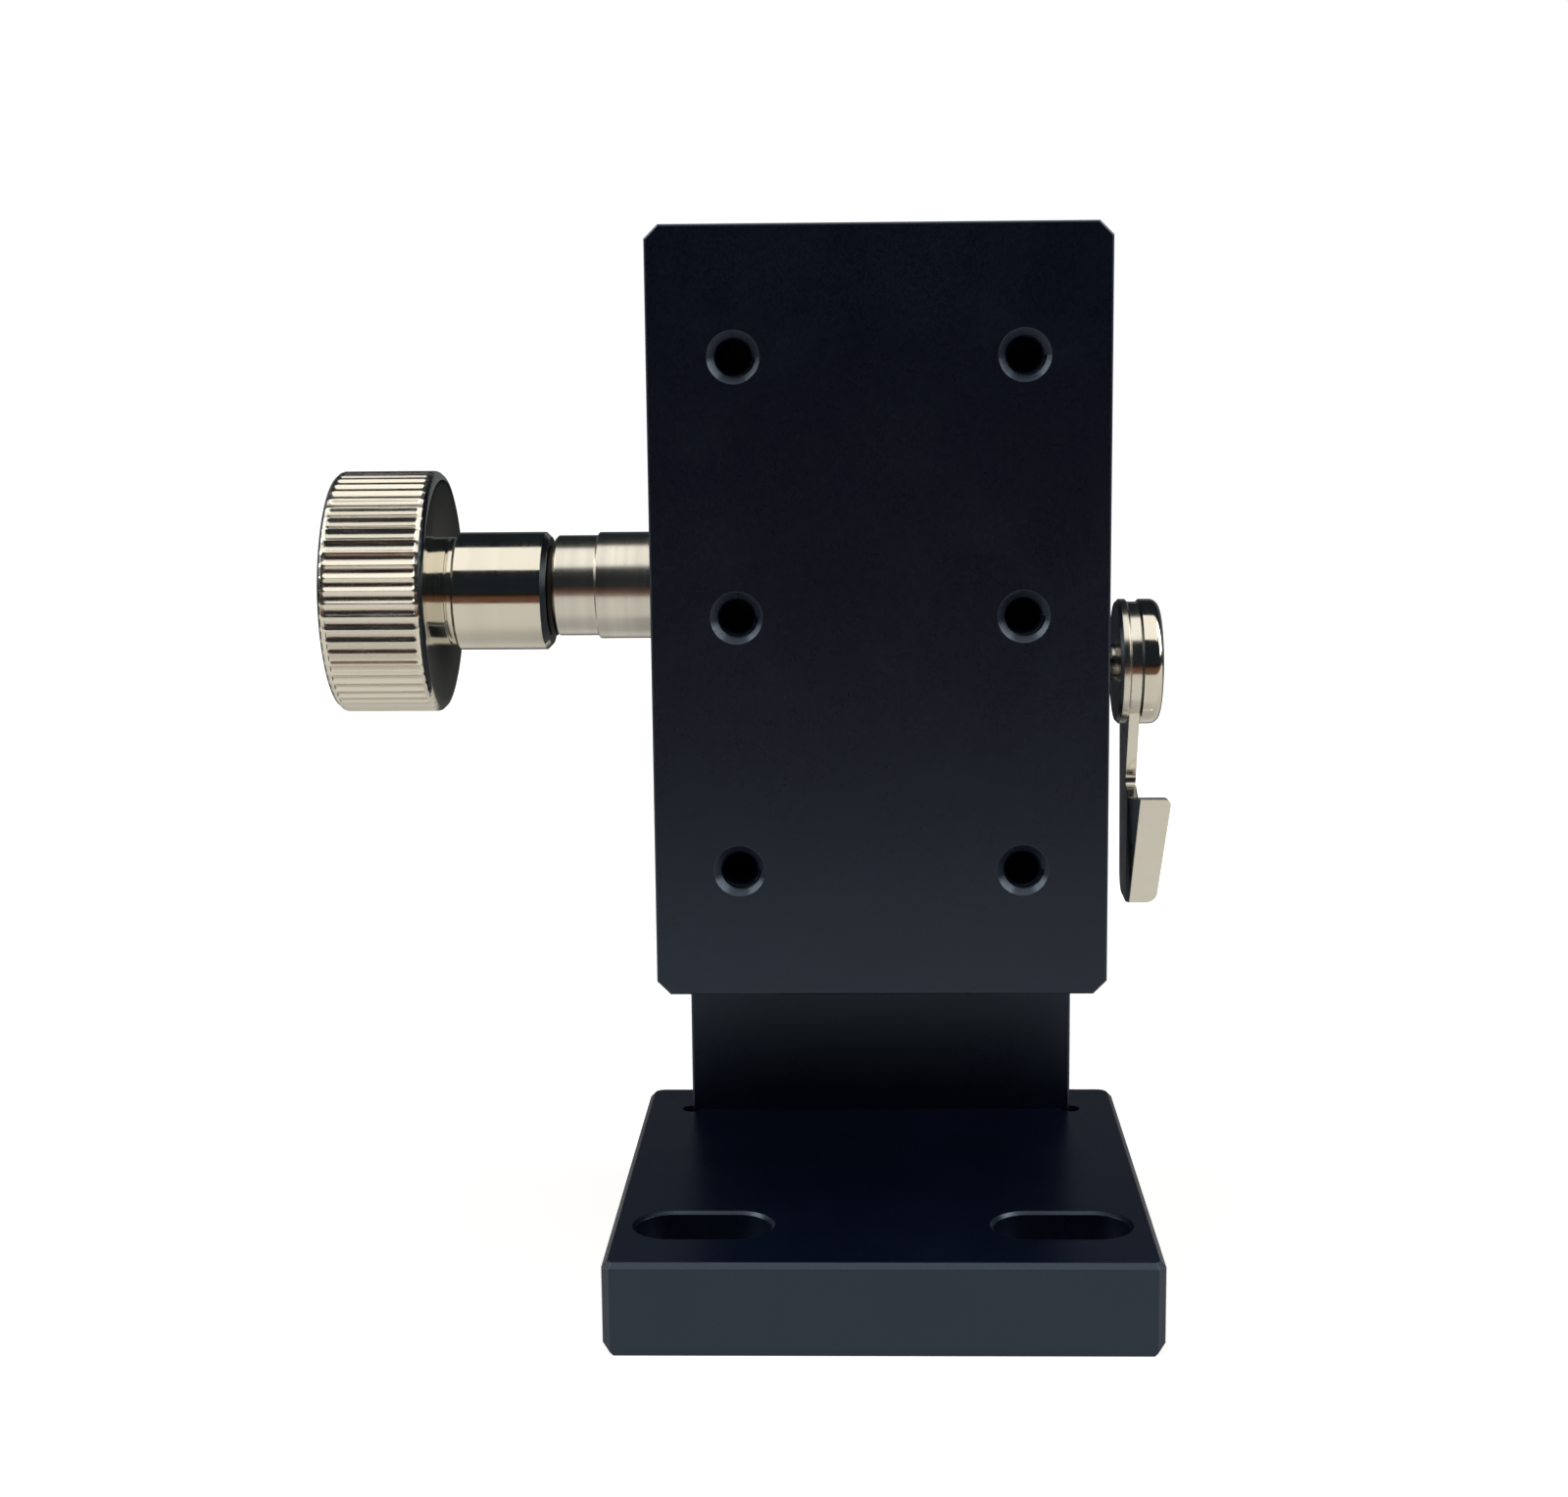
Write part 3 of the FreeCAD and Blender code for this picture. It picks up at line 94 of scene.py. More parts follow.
class Board:
    """Adds shader nodes to one tree and links them.

    Args:
        tree: Node tree that the nodes go into.
    """

    def __init__(self, tree: bpy.types.NodeTree) -> None:
        self.tree = tree

    def add(self, kind: str, **settings: object) -> bpy.types.Node:
        """Adds a node.

        Args:
            kind: Type of the node without its ShaderNode prefix.
            settings: Properties of the node.

        Returns:
            The new node.
        """
        node = self.tree.nodes.new("ShaderNode" + kind)
        for key, setting in settings.items():
            setattr(node, key, setting)
        return node

    def feed(self, socket: bpy.types.NodeSocket, source: object) -> None:
        """Links a socket to another one, or sets its constant."""
        if isinstance(source, bpy.types.NodeSocket):
            self.tree.links.new(source, socket)
        else:
            socket.default_value = source

    def calculate(self, operation: str, *values: object, clamp: bool = False) -> bpy.types.NodeSocket:
        """Adds a sum of plain values.

        Args:
            operation: Name of the operation.
            values: Sockets or constants that it takes.
            clamp: True to keep the result from zero to one.

        Returns:
            Socket with the result.
        """
        node = self.add("Math", operation=operation, use_clamp=clamp)
        for socket, source in zip(node.inputs, values):
            self.feed(socket, source)
        return node.outputs[0]

    def vectors(self, operation: str, *values: object) -> bpy.types.Node:
        """Adds a vector operation and returns its node."""
        node = self.add("VectorMath", operation=operation)
        for socket, source in zip(node.inputs, values):
            self.feed(socket, source)
        return node

    def spread(self, source: object, low: object, high: object,
               start: object = 0.0, end: object = 1.0) -> bpy.types.NodeSocket:
        """Maps a value from one range to another and keeps it inside.

        Args:
            source: Socket to map.
            low: Value that gives start.
            high: Value that gives end.
            start: Result at low.
            end: Result at high.

        Returns:
            Socket with the result.
        """
        node = self.add("MapRange", clamp=True)
        for socket, value in zip(node.inputs, (source, low, high, start, end)):
            self.feed(socket, value)
        return node.outputs[0]

    def noise(self, place: object, scale: object, detail: float = 2.0) -> bpy.types.NodeSocket:
        """Adds a noise texture.

        Args:
            place: Socket with the coordinates.
            scale: Features in a metre.
            detail: Octaves on top of the first.

        Returns:
            Socket with the noise, about 0.5 on average.
        """
        node = self.add("TexNoise", noise_dimensions="3D")
        self.feed(node.inputs["Vector"], place)
        self.feed(node.inputs["Scale"], scale)
        node.inputs["Detail"].default_value = detail
        return node.outputs["Fac"]

    def mix(self, factor: object, first: object, second: object) -> bpy.types.NodeSocket:
        """Mixes two colours and returns the socket with the result."""
        node = self.add("Mix", data_type="RGBA")
        for name, source in (("Factor_Float", factor), ("A_Color", first), ("B_Color", second)):
            socket = next(entry for entry in node.inputs if entry.identifier == name)
            self.feed(socket, source)
        return next(entry for entry in node.outputs if entry.identifier == "Result_Color")

    def object_place(self) -> bpy.types.NodeSocket:
        """Adds coordinates that stay with the piece, in metres."""
        return self.add("TexCoord").outputs["Object"]

    def about(self, centre: object, axis: object) -> tuple[bpy.types.NodeSocket, ...]:
        """Finds where a point of the surface lies about an axis.

        Args:
            centre: Socket with a point on the axis.
            axis: Socket with the axis's unit vector.

        Returns:
            Sockets with the distance along the axis, the vector across it and the radius.
        """
        arm = self.vectors("SUBTRACT", self.object_place(), centre).outputs["Vector"]
        along = self.vectors("DOT_PRODUCT", arm, axis).outputs["Value"]
        across = self.vectors("CROSS_PRODUCT", arm, axis).outputs["Vector"]
        radius = self.vectors("LENGTH", across).outputs["Value"]
        return along, across, radius


@dataclass(frozen=True)
class Effect:
    """Shader node group that several finishes share.

    Attributes:
        name: Name of the group.
        takes: Inputs with their defaults. A number makes a float socket, three make a vector.
        gives: Outputs with their socket types.
    """

    name: str
    takes: dict[str, object]
    gives: dict[str, str]

    def tree(self) -> bpy.types.NodeTree:
        """Builds the group on first use and returns it."""
        made = bpy.data.node_groups.get(self.name)
        if made:
            return made
        made = bpy.data.node_groups.new(self.name, "ShaderNodeTree")
        for name, default in self.takes.items():
            kind = "NodeSocketVector" if isinstance(default, tuple) else "NodeSocketFloat"
            socket = made.interface.new_socket(name, in_out="INPUT", socket_type=kind)
            socket.default_value = default
        for name, kind in self.gives.items():
            made.interface.new_socket(name, in_out="OUTPUT", socket_type=kind)
        board = Board(made)
        entry = made.nodes.new("NodeGroupInput")
        leaving = made.nodes.new("NodeGroupOutput")
        results = self.work_out(board, entry.outputs)
        for name, result in results.items():
            board.feed(leaving.inputs[name], result)
        return made

    def work_out(self, board: Board, taken: bpy.types.NodeOutputs) -> dict[str, bpy.types.NodeSocket]:
        """Fills the group. Each effect has its own way.

        Args:
            board: Board of the group's tree.
            taken: Sockets of the group's inputs, by name.

        Returns:
            Result of each output, by name.
        """
        raise NotImplementedError

    def place(self, board: Board, **values: object) -> bpy.types.NodeOutputs:
        """Places the group in a material.

        Args:
            board: Board of the material.
            values: Input values, with an underscore for each space in a name.

        Returns:
            Sockets of the group's outputs, by name.
        """
        node = board.add("Group", node_tree=self.tree())
        for key, value in values.items():
            board.feed(node.inputs[key.replace("_", " ")], value)
        return node.outputs


class EdgeWear(Effect):
    """Finds edges, breaks them up with noise and rounds the normal over them.

    Attributes:
        flat: Cosine between the rounded and the true normal where wear starts.
        sharp: The same cosine where wear is full.
        chip_low: Noise up to which no wear is left.
        chip_high: Noise from which all wear is left.
    """

    flat: float = 0.995
    sharp: float = 0.86
    chip_low: float = 0.34
    chip_high: float = 0.62

    def work_out(self, board: Board, taken: bpy.types.NodeOutputs) -> dict[str, bpy.types.NodeSocket]:
        """See Effect.work_out."""
        bevel = board.add("Bevel", samples=6)
        board.feed(bevel.inputs["Radius"], taken["Radius"])
        geometry = board.add("NewGeometry")
        facing = board.vectors("DOT_PRODUCT", bevel.outputs["Normal"], geometry.outputs["Normal"])
        edge = board.spread(facing.outputs["Value"], self.flat, self.sharp)
        chips = board.noise(board.object_place(), taken["Chips"], 4.0)
        left = board.spread(chips, self.chip_low, self.chip_high)
        mask = board.calculate("MULTIPLY", edge, left)
        return {"Edge": board.calculate("MULTIPLY", mask, taken["Amount"]),
                "Normal": bevel.outputs["Normal"]}


class BlastedGrain(Effect):
    """Fine even grain of a blasted, milled or blackened surface.

    Attributes:
        cloud_share: Fineness of the soft patches, as a share of the grain's.
    """

    cloud_share: float = 0.02

    def work_out(self, board: Board, taken: bpy.types.NodeOutputs) -> dict[str, bpy.types.NodeSocket]:
        """See Effect.work_out."""
        place = board.object_place()
        grain = board.noise(place, taken["Fineness"], 3.0)
        cloud_scale = board.calculate("MULTIPLY", taken["Fineness"], self.cloud_share)
        cloud_and_shade = board.noise(place, cloud_scale, 3.0)
        return {"Height": grain, "Cloud and Shade": board.spread(cloud_and_shade, NOISE_LOW, NOISE_HIGH)}


class TurnedRings(Effect):
    """Rings that a lathe tool leaves: along a barrel, and round the middle of a face.

    Attributes:
        wide_share: Fineness of the wide bands, as a share of the rings'.
    """

    wide_share: float = 0.12

    def work_out(self, board: Board, taken: bpy.types.NodeOutputs) -> dict[str, bpy.types.NodeSocket]:
        """See Effect.work_out."""
        along, _, radius = board.about(taken["Centre"], taken["Axis"])
        place = board.add("CombineXYZ")
        board.feed(place.inputs["X"], along)
        board.feed(place.inputs["Y"], radius)
        rings = board.noise(place.outputs["Vector"], taken["Fineness"], 2.0)
        wide_scale = board.calculate("MULTIPLY", taken["Fineness"], self.wide_share)
        wide = board.noise(place.outputs["Vector"], wide_scale, 1.0)
        return {"Height": rings, "Cloud and Shade": board.spread(wide, NOISE_LOW, NOISE_HIGH)}


class Knurling(Effect):
    """Painted shade deep in the grooves of a knurl, and the streaks that the tool draws along them.

    Attributes:
        squeeze: Share of the distance along the axis that is kept, which draws streaks out.
        shade_start: Share of the Groove input at which the painted shade starts.
        shade_full: Share of it at which the painted shade is full.
    """

    squeeze: float = 0.08
    shade_start: float = 0.45
    shade_full: float = 0.85

    def work_out(self, board: Board, taken: bpy.types.NodeOutputs) -> dict[str, bpy.types.NodeSocket]:
        """See Effect.work_out."""
        along, across, radius = board.about(taken["Centre"], taken["Axis"])
        squeezed = board.vectors("SCALE", taken["Axis"])
        board.feed(squeezed.inputs["Scale"], board.calculate("MULTIPLY", along, self.squeeze))
        place = board.vectors("ADD", across, squeezed.outputs["Vector"]).outputs["Vector"]
        streaks = board.noise(place, taken["Fineness"], 3.0)
        # Painted shade: the deeper a point sits in a groove, the more of the dark second colour it gets.
        sunk = board.calculate("SUBTRACT", taken["Rim"], radius)
        deep = board.calculate("DIVIDE", sunk, taken["Groove"])
        return {"Height": streaks, "Cloud and Shade": board.spread(deep, self.shade_start, self.shade_full)}


class HandlingMarks(Effect):
    """Soft smears left by fingers, for the roughness.

    Attributes:
        bend_scale: Bends of the smears in a metre.
        bend_least: Least stretch of the coordinates.
        bend_most: Greatest stretch of the coordinates.
        smear_low: Noise at which a smear starts.
        smear_high: Noise at which it is full.
    """

    bend_scale: float = 60.0
    bend_least: float = 0.85
    bend_most: float = 1.15
    smear_low: float = 0.46
    smear_high: float = 0.7

    def work_out(self, board: Board, taken: bpy.types.NodeOutputs) -> dict[str, bpy.types.NodeSocket]:
        """See Effect.work_out."""
        place = board.object_place()
        bend = board.noise(place, self.bend_scale, 1.0)
        shift = board.vectors("SCALE", place)
        stretch = board.spread(bend, 0.0, 1.0, self.bend_least, self.bend_most)
        board.feed(shift.inputs["Scale"], stretch)
        smear = board.noise(shift.outputs["Vector"], taken["Scale"], 5.0)
        soft = board.spread(smear, self.smear_low, self.smear_high)
        return {"Smear": board.calculate("MULTIPLY", soft, taken["Amount"])}


EDGE_WEAR = EdgeWear(
    "edge_wear",
    {"Radius": 0.15 * MM, "Chips": 1500.0, "Amount": 1.0},
    {"Edge": "NodeSocketFloat", "Normal": "NodeSocketVector"},
)
BLASTED_GRAIN = BlastedGrain(
    "blasted_grain",
    {"Fineness": 6000.0},
    {"Height": "NodeSocketFloat", "Cloud and Shade": "NodeSocketFloat"},
)
TURNED_RINGS = TurnedRings(
    "turned_rings",
    {"Fineness": 6000.0, "Centre": (0.0, 0.0, 0.0), "Axis": (1.0, 0.0, 0.0)},
    {"Height": "NodeSocketFloat", "Cloud and Shade": "NodeSocketFloat"},
)
KNURLING = Knurling(
    "knurling",
    {"Fineness": 6000.0, "Centre": (0.0, 0.0, 0.0), "Axis": (1.0, 0.0, 0.0), "Rim": 11.75 * MM,
     "Groove": 0.4 * MM},
    {"Height": "NodeSocketFloat", "Cloud and Shade": "NodeSocketFloat"},
)
HANDLING_MARKS = HandlingMarks(
    "handling_marks",
    {"Scale": 120.0, "Amount": 1.0},
    {"Smear": "NodeSocketFloat"},
)


@dataclass(frozen=True)
class Spindle:
    """Axis that turned pieces are built on.

    Attributes:
        name: Short name, for the materials turned about it.
        origin: Point on the axis.
        along: Unit vector of the axis.
    """

    name: str
    origin: Vector
    along: Vector

    def sides(self) -> tuple[Vector, Vector]:
        """Two unit vectors across the axis, at right angles to each other."""
        helper = Vector((0, 0, 1)) if abs(self.along.z) < 0.9 else Vector((0, 1, 0))
        first = self.along.cross(helper).normalized()
        return first, self.along.cross(first)

    def point(self, travel: float, radius: float, angle: float) -> Vector:
        """Point at a distance along the axis, at a radius and an angle."""
        first, second = self.sides()
        across = first * math.cos(angle) + second * math.sin(angle)
        return self.origin + self.along * travel + across * radius


@dataclass(frozen=True)
class Finish:
    """Surface of one kind of piece, as constants of one Principled shader and its effects.

    Attributes:
        name: Name of the material.
        slot: Material slot of the record.
        colour: Main colour.
        cloud_and_shade: Colour that the main one drifts to in soft patches, and on a knurl the painted
            shade deep in its grooves.
        worn: Colour of worn edges.
        metallic: Metallic constant.
        roughness: Roughness of the clean surface.
        rough_spread: Roughness that the pattern adds and takes.
        smear: Roughness that handling marks add.
        pattern: Marks all over the surface.
        fineness: Features of the pattern in a metre.
        depth: Height of the pattern.
        edge_radius: Rounding of the edges.
        edge_amount: Wear of the edges, from zero to one.
        specular: Specular level.
        tint: Colour of the highlights.
        rim: Radius of the knurl that the pattern is on.
        groove: Depth that the painted shade in that knurl is measured by.
    """

    name: str
    slot: str
    colour: Colour
    cloud_and_shade: Colour
    worn: Colour
    metallic: float
    roughness: float
    rough_spread: float
    smear: float
    pattern: Pattern
    fineness: float
    depth: float
    edge_radius: float = 0.12 * MM
    edge_amount: float = 0.6
    specular: float = 0.5
    tint: Colour = (1.0, 1.0, 1.0)
    rim: float = 11.75 * MM
    groove: float = 0.4 * MM

    def material(self, spindle: Spindle | None = None) -> bpy.types.Material:
        """Builds the material on first use.

        Args:
            spindle: Axis of the turned rings, for a turned piece.

        Returns:
            The material.
        """
        name = f"{self.name}_{spindle.name}" if spindle else self.name
        made = bpy.data.materials.get(name)
        if made:
            return made
        made = bpy.data.materials.new(name)
        made.use_nodes = True
        board = Board(made.node_tree)
        shader = made.node_tree.nodes["Principled BSDF"]
        shader.inputs["Metallic"].default_value = self.metallic
        shader.inputs["Specular IOR Level"].default_value = self.specular
        shader.inputs["Specular Tint"].default_value = (*self.tint, 1.0)
        if self.pattern is Pattern.RINGS and spindle:
            marks = TURNED_RINGS.place(board, Fineness=self.fineness, Centre=tuple(spindle.origin),
                                       Axis=tuple(spindle.along))
        elif self.pattern is Pattern.KNURL and spindle:
            marks = KNURLING.place(board, Fineness=self.fineness, Centre=tuple(spindle.origin),
                                   Axis=tuple(spindle.along), Rim=self.rim, Groove=self.groove)
        else:
            marks = BLASTED_GRAIN.place(board, Fineness=self.fineness)
        wear = EDGE_WEAR.place(board, Radius=self.edge_radius, Amount=self.edge_amount)
        hands = HANDLING_MARKS.place(board, Amount=self.smear)
        # Second colour: soft patches of tone, and on a knurl painted shade deep in its grooves.
        body = board.mix(marks["Cloud and Shade"], (*self.colour, 1.0), (*self.cloud_and_shade, 1.0))
        board.feed(shader.inputs["Base Color"], board.mix(wear["Edge"], body, (*self.worn, 1.0)))
        rough = board.spread(marks["Height"], NOISE_LOW, NOISE_HIGH,
                             self.roughness - self.rough_spread, self.roughness + self.rough_spread)
        board.feed(shader.inputs["Roughness"], board.calculate("ADD", rough, hands["Smear"], clamp=True))
        bump = board.add("Bump")
        bump.inputs["Strength"].default_value = 1.0
        bump.inputs["Distance"].default_value = self.depth
        board.feed(bump.inputs["Height"], marks["Height"])
        board.feed(bump.inputs["Normal"], wear["Normal"])
        board.feed(shader.inputs["Normal"], bump.outputs["Normal"])
        return made


ANODISED = Finish(
    name="black_anodised_blasted", slot="black_anodised",
    colour=(0.0004, 0.0017, 0.0096), cloud_and_shade=(0.0008, 0.0023, 0.0116), worn=(0.045, 0.050, 0.060),
    metallic=0.0, roughness=0.32, rough_spread=0.05, smear=0.04,
    pattern=Pattern.GRAIN, fineness=5200.0, depth=0.0020 * MM, edge_radius=0.10 * MM, edge_amount=0.6,
    specular=0.83, tint=(0.63, 0.80, 1.0),
)
POLISHED_NICKEL = Finish(
    name="nickel_polished", slot="nickel",
    colour=(0.74, 0.70, 0.60), cloud_and_shade=(0.70, 0.66, 0.56), worn=(0.80, 0.78, 0.72),
    metallic=1.0, roughness=0.10, rough_spread=0.03, smear=0.06,
    pattern=Pattern.RINGS, fineness=5000.0, depth=0.0006 * MM, edge_radius=0.08 * MM, edge_amount=0.5,
)
HAZY_NICKEL = Finish(
    name="nickel_turned", slot="nickel",
    colour=(0.72, 0.69, 0.61), cloud_and_shade=(0.64, 0.61, 0.54), worn=(0.80, 0.78, 0.72),
    metallic=1.0, roughness=0.21, rough_spread=0.03, smear=0.04,
    pattern=Pattern.RINGS, fineness=9000.0, depth=0.0003 * MM, edge_radius=0.08 * MM, edge_amount=0.5,
)
# The knurl's dark second colour is painted shade deep in its grooves.
KNURLED_NICKEL = Finish(
    name="nickel_knurled", slot="nickel",
    colour=(0.80, 0.76, 0.66), cloud_and_shade=(0.34, 0.29, 0.22), worn=(0.82, 0.79, 0.72),
    metallic=1.0, roughness=0.22, rough_spread=0.05, smear=0.04,
    pattern=Pattern.KNURL, fineness=5000.0, depth=0.0012 * MM, edge_radius=0.05 * MM, edge_amount=0.4,
)
SHEET_NICKEL = Finish(
    name="nickel_sheet", slot="nickel",
    colour=(0.74, 0.71, 0.63), cloud_and_shade=(0.70, 0.67, 0.59), worn=(0.82, 0.80, 0.74),
    metallic=1.0, roughness=0.16, rough_spread=0.04, smear=0.06,
    pattern=Pattern.GRAIN, fineness=900.0, depth=0.0020 * MM, edge_radius=0.15 * MM, edge_amount=0.5,
)
GROUND_STEEL = Finish(
    name="steel_ground", slot="steel",
    colour=(0.50, 0.50, 0.49), cloud_and_shade=(0.42, 0.42, 0.41), worn=(0.66, 0.66, 0.65),
    metallic=1.0, roughness=0.30, rough_spread=0.08, smear=0.08,
    pattern=Pattern.RINGS, fineness=5000.0, depth=0.0010 * MM, edge_amount=0.8,
)
BLACK_OXIDE = Finish(
    name="steel_blackened", slot="black_steel",
    colour=(0.022, 0.022, 0.024), cloud_and_shade=(0.032, 0.031, 0.031), worn=(0.16, 0.16, 0.16),
    metallic=0.4, roughness=0.42, rough_spread=0.08, smear=0.06,
    pattern=Pattern.GRAIN, fineness=4000.0, depth=0.0015 * MM, edge_amount=0.9,
)
BRASS = Finish(
    name="brass_milled", slot="brass",
    colour=(0.72, 0.53, 0.24), cloud_and_shade=(0.60, 0.42, 0.18), worn=(0.86, 0.70, 0.38),
    metallic=1.0, roughness=0.28, rough_spread=0.07, smear=0.10,
    pattern=Pattern.GRAIN, fineness=2600.0, depth=0.0015 * MM, edge_amount=0.8,
)
# Matt black washer at the end of the knob's neck: partly a real washer, partly painted shade of the gap
# there.
BLACK_WASHER_AND_GAP_SHADE = Finish(
    name="plastic_matt_gap_shade", slot="washer_plastic",
    colour=(0.014, 0.014, 0.015), cloud_and_shade=(0.020, 0.020, 0.021), worn=(0.05, 0.05, 0.05),
    metallic=0.0, roughness=0.58, rough_spread=0.06, smear=0.05,
    pattern=Pattern.GRAIN, fineness=3000.0, depth=0.0020 * MM, edge_amount=0.3,
)


class RingMesh:
    """Closed mesh skinned over rings of points round one spindle.

    A ring may have a whole number of times fewer or more points than the one before. One point
    alone is a pole.

    Args:
        spindle: Axis of the rings.
    """

    def __init__(self, spindle: Spindle) -> None:
        self.spindle = spindle
        self.points: list[Vector] = []
        self.faces: list[tuple[int, ...]] = []
        self.last: list[int] = []

    def ring(self, travel: float, radius: Radius, count: int, offset: Vector = Vector()) -> None:
        """Adds a ring and skins the gap to the one before.

        Args:
            travel: Distance along the spindle.
            radius: Radius, or a function that gives it at an angle.
            count: Number of points.
            offset: Shift of the ring's centre across the spindle.
        """
        fresh = []
        for step in range(count):
            angle = 2 * math.pi * step / count
            size = radius(angle) if callable(radius) else radius
            fresh.append(len(self.points))
            self.points.append(self.spindle.point(travel, size, angle) + offset)
        self.join(fresh)

    def pole(self, travel: float) -> None:
        """Adds a single point on the spindle."""
        fresh = [len(self.points)]
        self.points.append(self.spindle.point(travel, 0.0, 0.0))
        self.join(fresh)

    def profile(self, pairs: Sequence[tuple[float, Radius]], count: int) -> None:
        """Adds a ring for each pair of travel and radius, all with as many points."""
        for travel, radius in pairs:
            self.ring(travel, radius, count)

    def rounding(self, face: float, inwards: int, rim: float, edge: float,
                 shares: Sequence[float], count: int) -> None:
        """Adds the rings of a rounded edge.

        Args:
            face: Travel of the end face beside the edge.
            inwards: 1 if the piece lies at larger travels than the face, or -1.
            rim: Radius beside the edge.
            edge: Size of the rounding.
            shares: Shares of the quarter turn, zero at the face and one at the rim.
            count: Number of points.
        """
        for share in shares:
            turn = share * math.pi / 2
            travel = face + inwards * edge * (1 - math.cos(turn))
            self.ring(travel, rim - edge * (1 - math.sin(turn)), count)

    def join(self, fresh: list[int]) -> None:
        """Skins the gap between the last ring and a fresh one."""
        last = self.last
        self.last = fresh
        if not last:
            return
        fine, coarse, flip = (last, fresh, False) if len(last) >= len(fresh) else (fresh, last, True)
        share = len(fine) // len(coarse)
        for index, corner in enumerate(coarse):
            following = coarse[(index + 1) % len(coarse)]
            for step in range(share):
                here = fine[index * share + step]
                there = fine[(index * share + step + 1) % len(fine)]
                if step == share - 1 and following != corner:
                    face = (here, there, following, corner)
                else:
                    face = (here, there, corner)
                self.faces.append(tuple(reversed(face)) if flip else face)

    def build(self, name: str) -> bpy.types.Object:
        """Makes the object and returns it, smooth but for its sharp edges."""
        return make_piece(name, self.points, self.faces)


def make_piece(name: str, points: Sequence[Vector], faces: Sequence[tuple[int, ...]],
               sharp_deg: float = SHARP_DEG) -> bpy.types.Object:
    """Makes an object of points and faces, with its faces turned outwards.

    Args:
        name: Name of the piece.
        points: Corners, in metres.
        faces: Corner numbers of each face.
        sharp_deg: Angle from which an edge is sharp.

    Returns:
        The new object, in the scene.
    """
    mesh = bpy.data.meshes.new(name)
    mesh.from_pydata([tuple(point) for point in points], [], faces)
    mesh.update()
    if signed_volume(mesh) < 0:
        mesh.flip_normals()
    shade(mesh, sharp_deg)
    piece = bpy.data.objects.new(name, mesh)
    bpy.context.scene.collection.objects.link(piece)
    return piece


def shade(mesh: bpy.types.Mesh, sharp_deg: float = SHARP_DEG) -> None:
    """Shades a mesh smooth but for its sharp edges."""
    mesh.shade_smooth()
    mesh.set_sharp_from_angle(angle=math.radians(sharp_deg))


def signed_volume(mesh: bpy.types.Mesh) -> float:
    """Volume inside a closed mesh, below zero if its faces are turned inwards."""
    total = 0.0
    for face in mesh.polygons:
        corners = [mesh.vertices[index].co for index in face.vertices]
        for second, third in zip(corners[1:], corners[2:]):
            total += corners[0].dot(second.cross(third)) / 6
    return total


def dress(node: str, finish: Finish, spindle: Spindle | None = None) -> None:
    """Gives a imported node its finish.

    Args:
        node: Name of the node.
        finish: Finish that it gets.
        spindle: Axis of its turned rings.
    """
    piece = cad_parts[node]
    material = finish.material(spindle)
    if not piece.material_slots:
        piece.data.materials.append(material)
    for place in piece.material_slots:
        place.material = material
    LOG.info("%s wears %s", node, material.name)


def settle(piece: bpy.types.Object, body: Body, finish: Finish, spindle: Spindle | None = None,
           stands_for: Sequence[str] = ()) -> bpy.types.Object:
    """Gives a new piece its body, and its finish if its faces have none.

    Args:
        piece: The new object.
        body: Body that it rides on.
        finish: Finish that it gets.
        spindle: Axis of its turned rings.
        stands_for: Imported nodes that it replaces.

    Returns:
        The same object.
    """
    if not piece.data.materials:
        piece.data.materials.append(finish.material(spindle))
    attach(piece, body.value)
    if stands_for:
        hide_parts(*stands_for)
    LOG.info("%s has %d faces and rides on %s", piece.name, len(piece.data.polygons), body.value)
    return piece


def middle(node: str) -> Vector:
    """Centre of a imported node's box."""
    low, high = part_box(node)
    return (low + high) / 2


def polygon_radius(apothem: float, sides: int) -> Callable[[float], float]:
    """Radius of a regular polygon by angle, for a hexagon socket or a square spigot."""
    wedge = 2 * math.pi / sides

    def radius(angle: float) -> float:
        return apothem / math.cos((angle % wedge) - wedge / 2)
    return radius


@dataclass(frozen=True)
class Thread:
    """Outside thread cut into a round bar.

    Attributes:
        pitch: Travel in one turn.
        depth: Height of the thread.
        steps_in_pitch: Rings in one turn's travel.
        count: Points in a ring.
        root_share: Share of half a pitch that the root is flat for.
        flank_share: Share of half a pitch that a flank takes.
    """

    pitch: float
    depth: float
    steps_in_pitch: int = 8
    count: int = 24
    root_share: float = 0.15
    flank_share: float = 0.7

    def radius(self, travel: float, crest: float) -> Callable[[float], float]:
        """Radius by angle at a travel along the bar."""
        def at(angle: float) -> float:
            phase = (travel / self.pitch - angle / (2 * math.pi)) % 1.0
            wave = 1.0 - 2.0 * abs(phase - 0.5)
            share = min(1.0, max(0.0, (wave - self.root_share) / self.flank_share))
            return crest - self.depth * (1.0 - share)
        return at

    def cut(self, mesh: RingMesh, start: float, end: float, crest: float) -> None:
        """Adds the thread's rings to a mesh, from its start to its end.

        Args:
            mesh: Mesh whose last ring is at the thread's start.
            start: Travel where the thread starts.
            end: Travel where it ends.
            crest: Outside radius.
        """
        steps = max(2, round((end - start) / self.pitch * self.steps_in_pitch))
        for step in range(steps + 1):
            travel = start + (end - start) * step / steps
            mesh.ring(travel, self.radius(travel, crest), self.count)


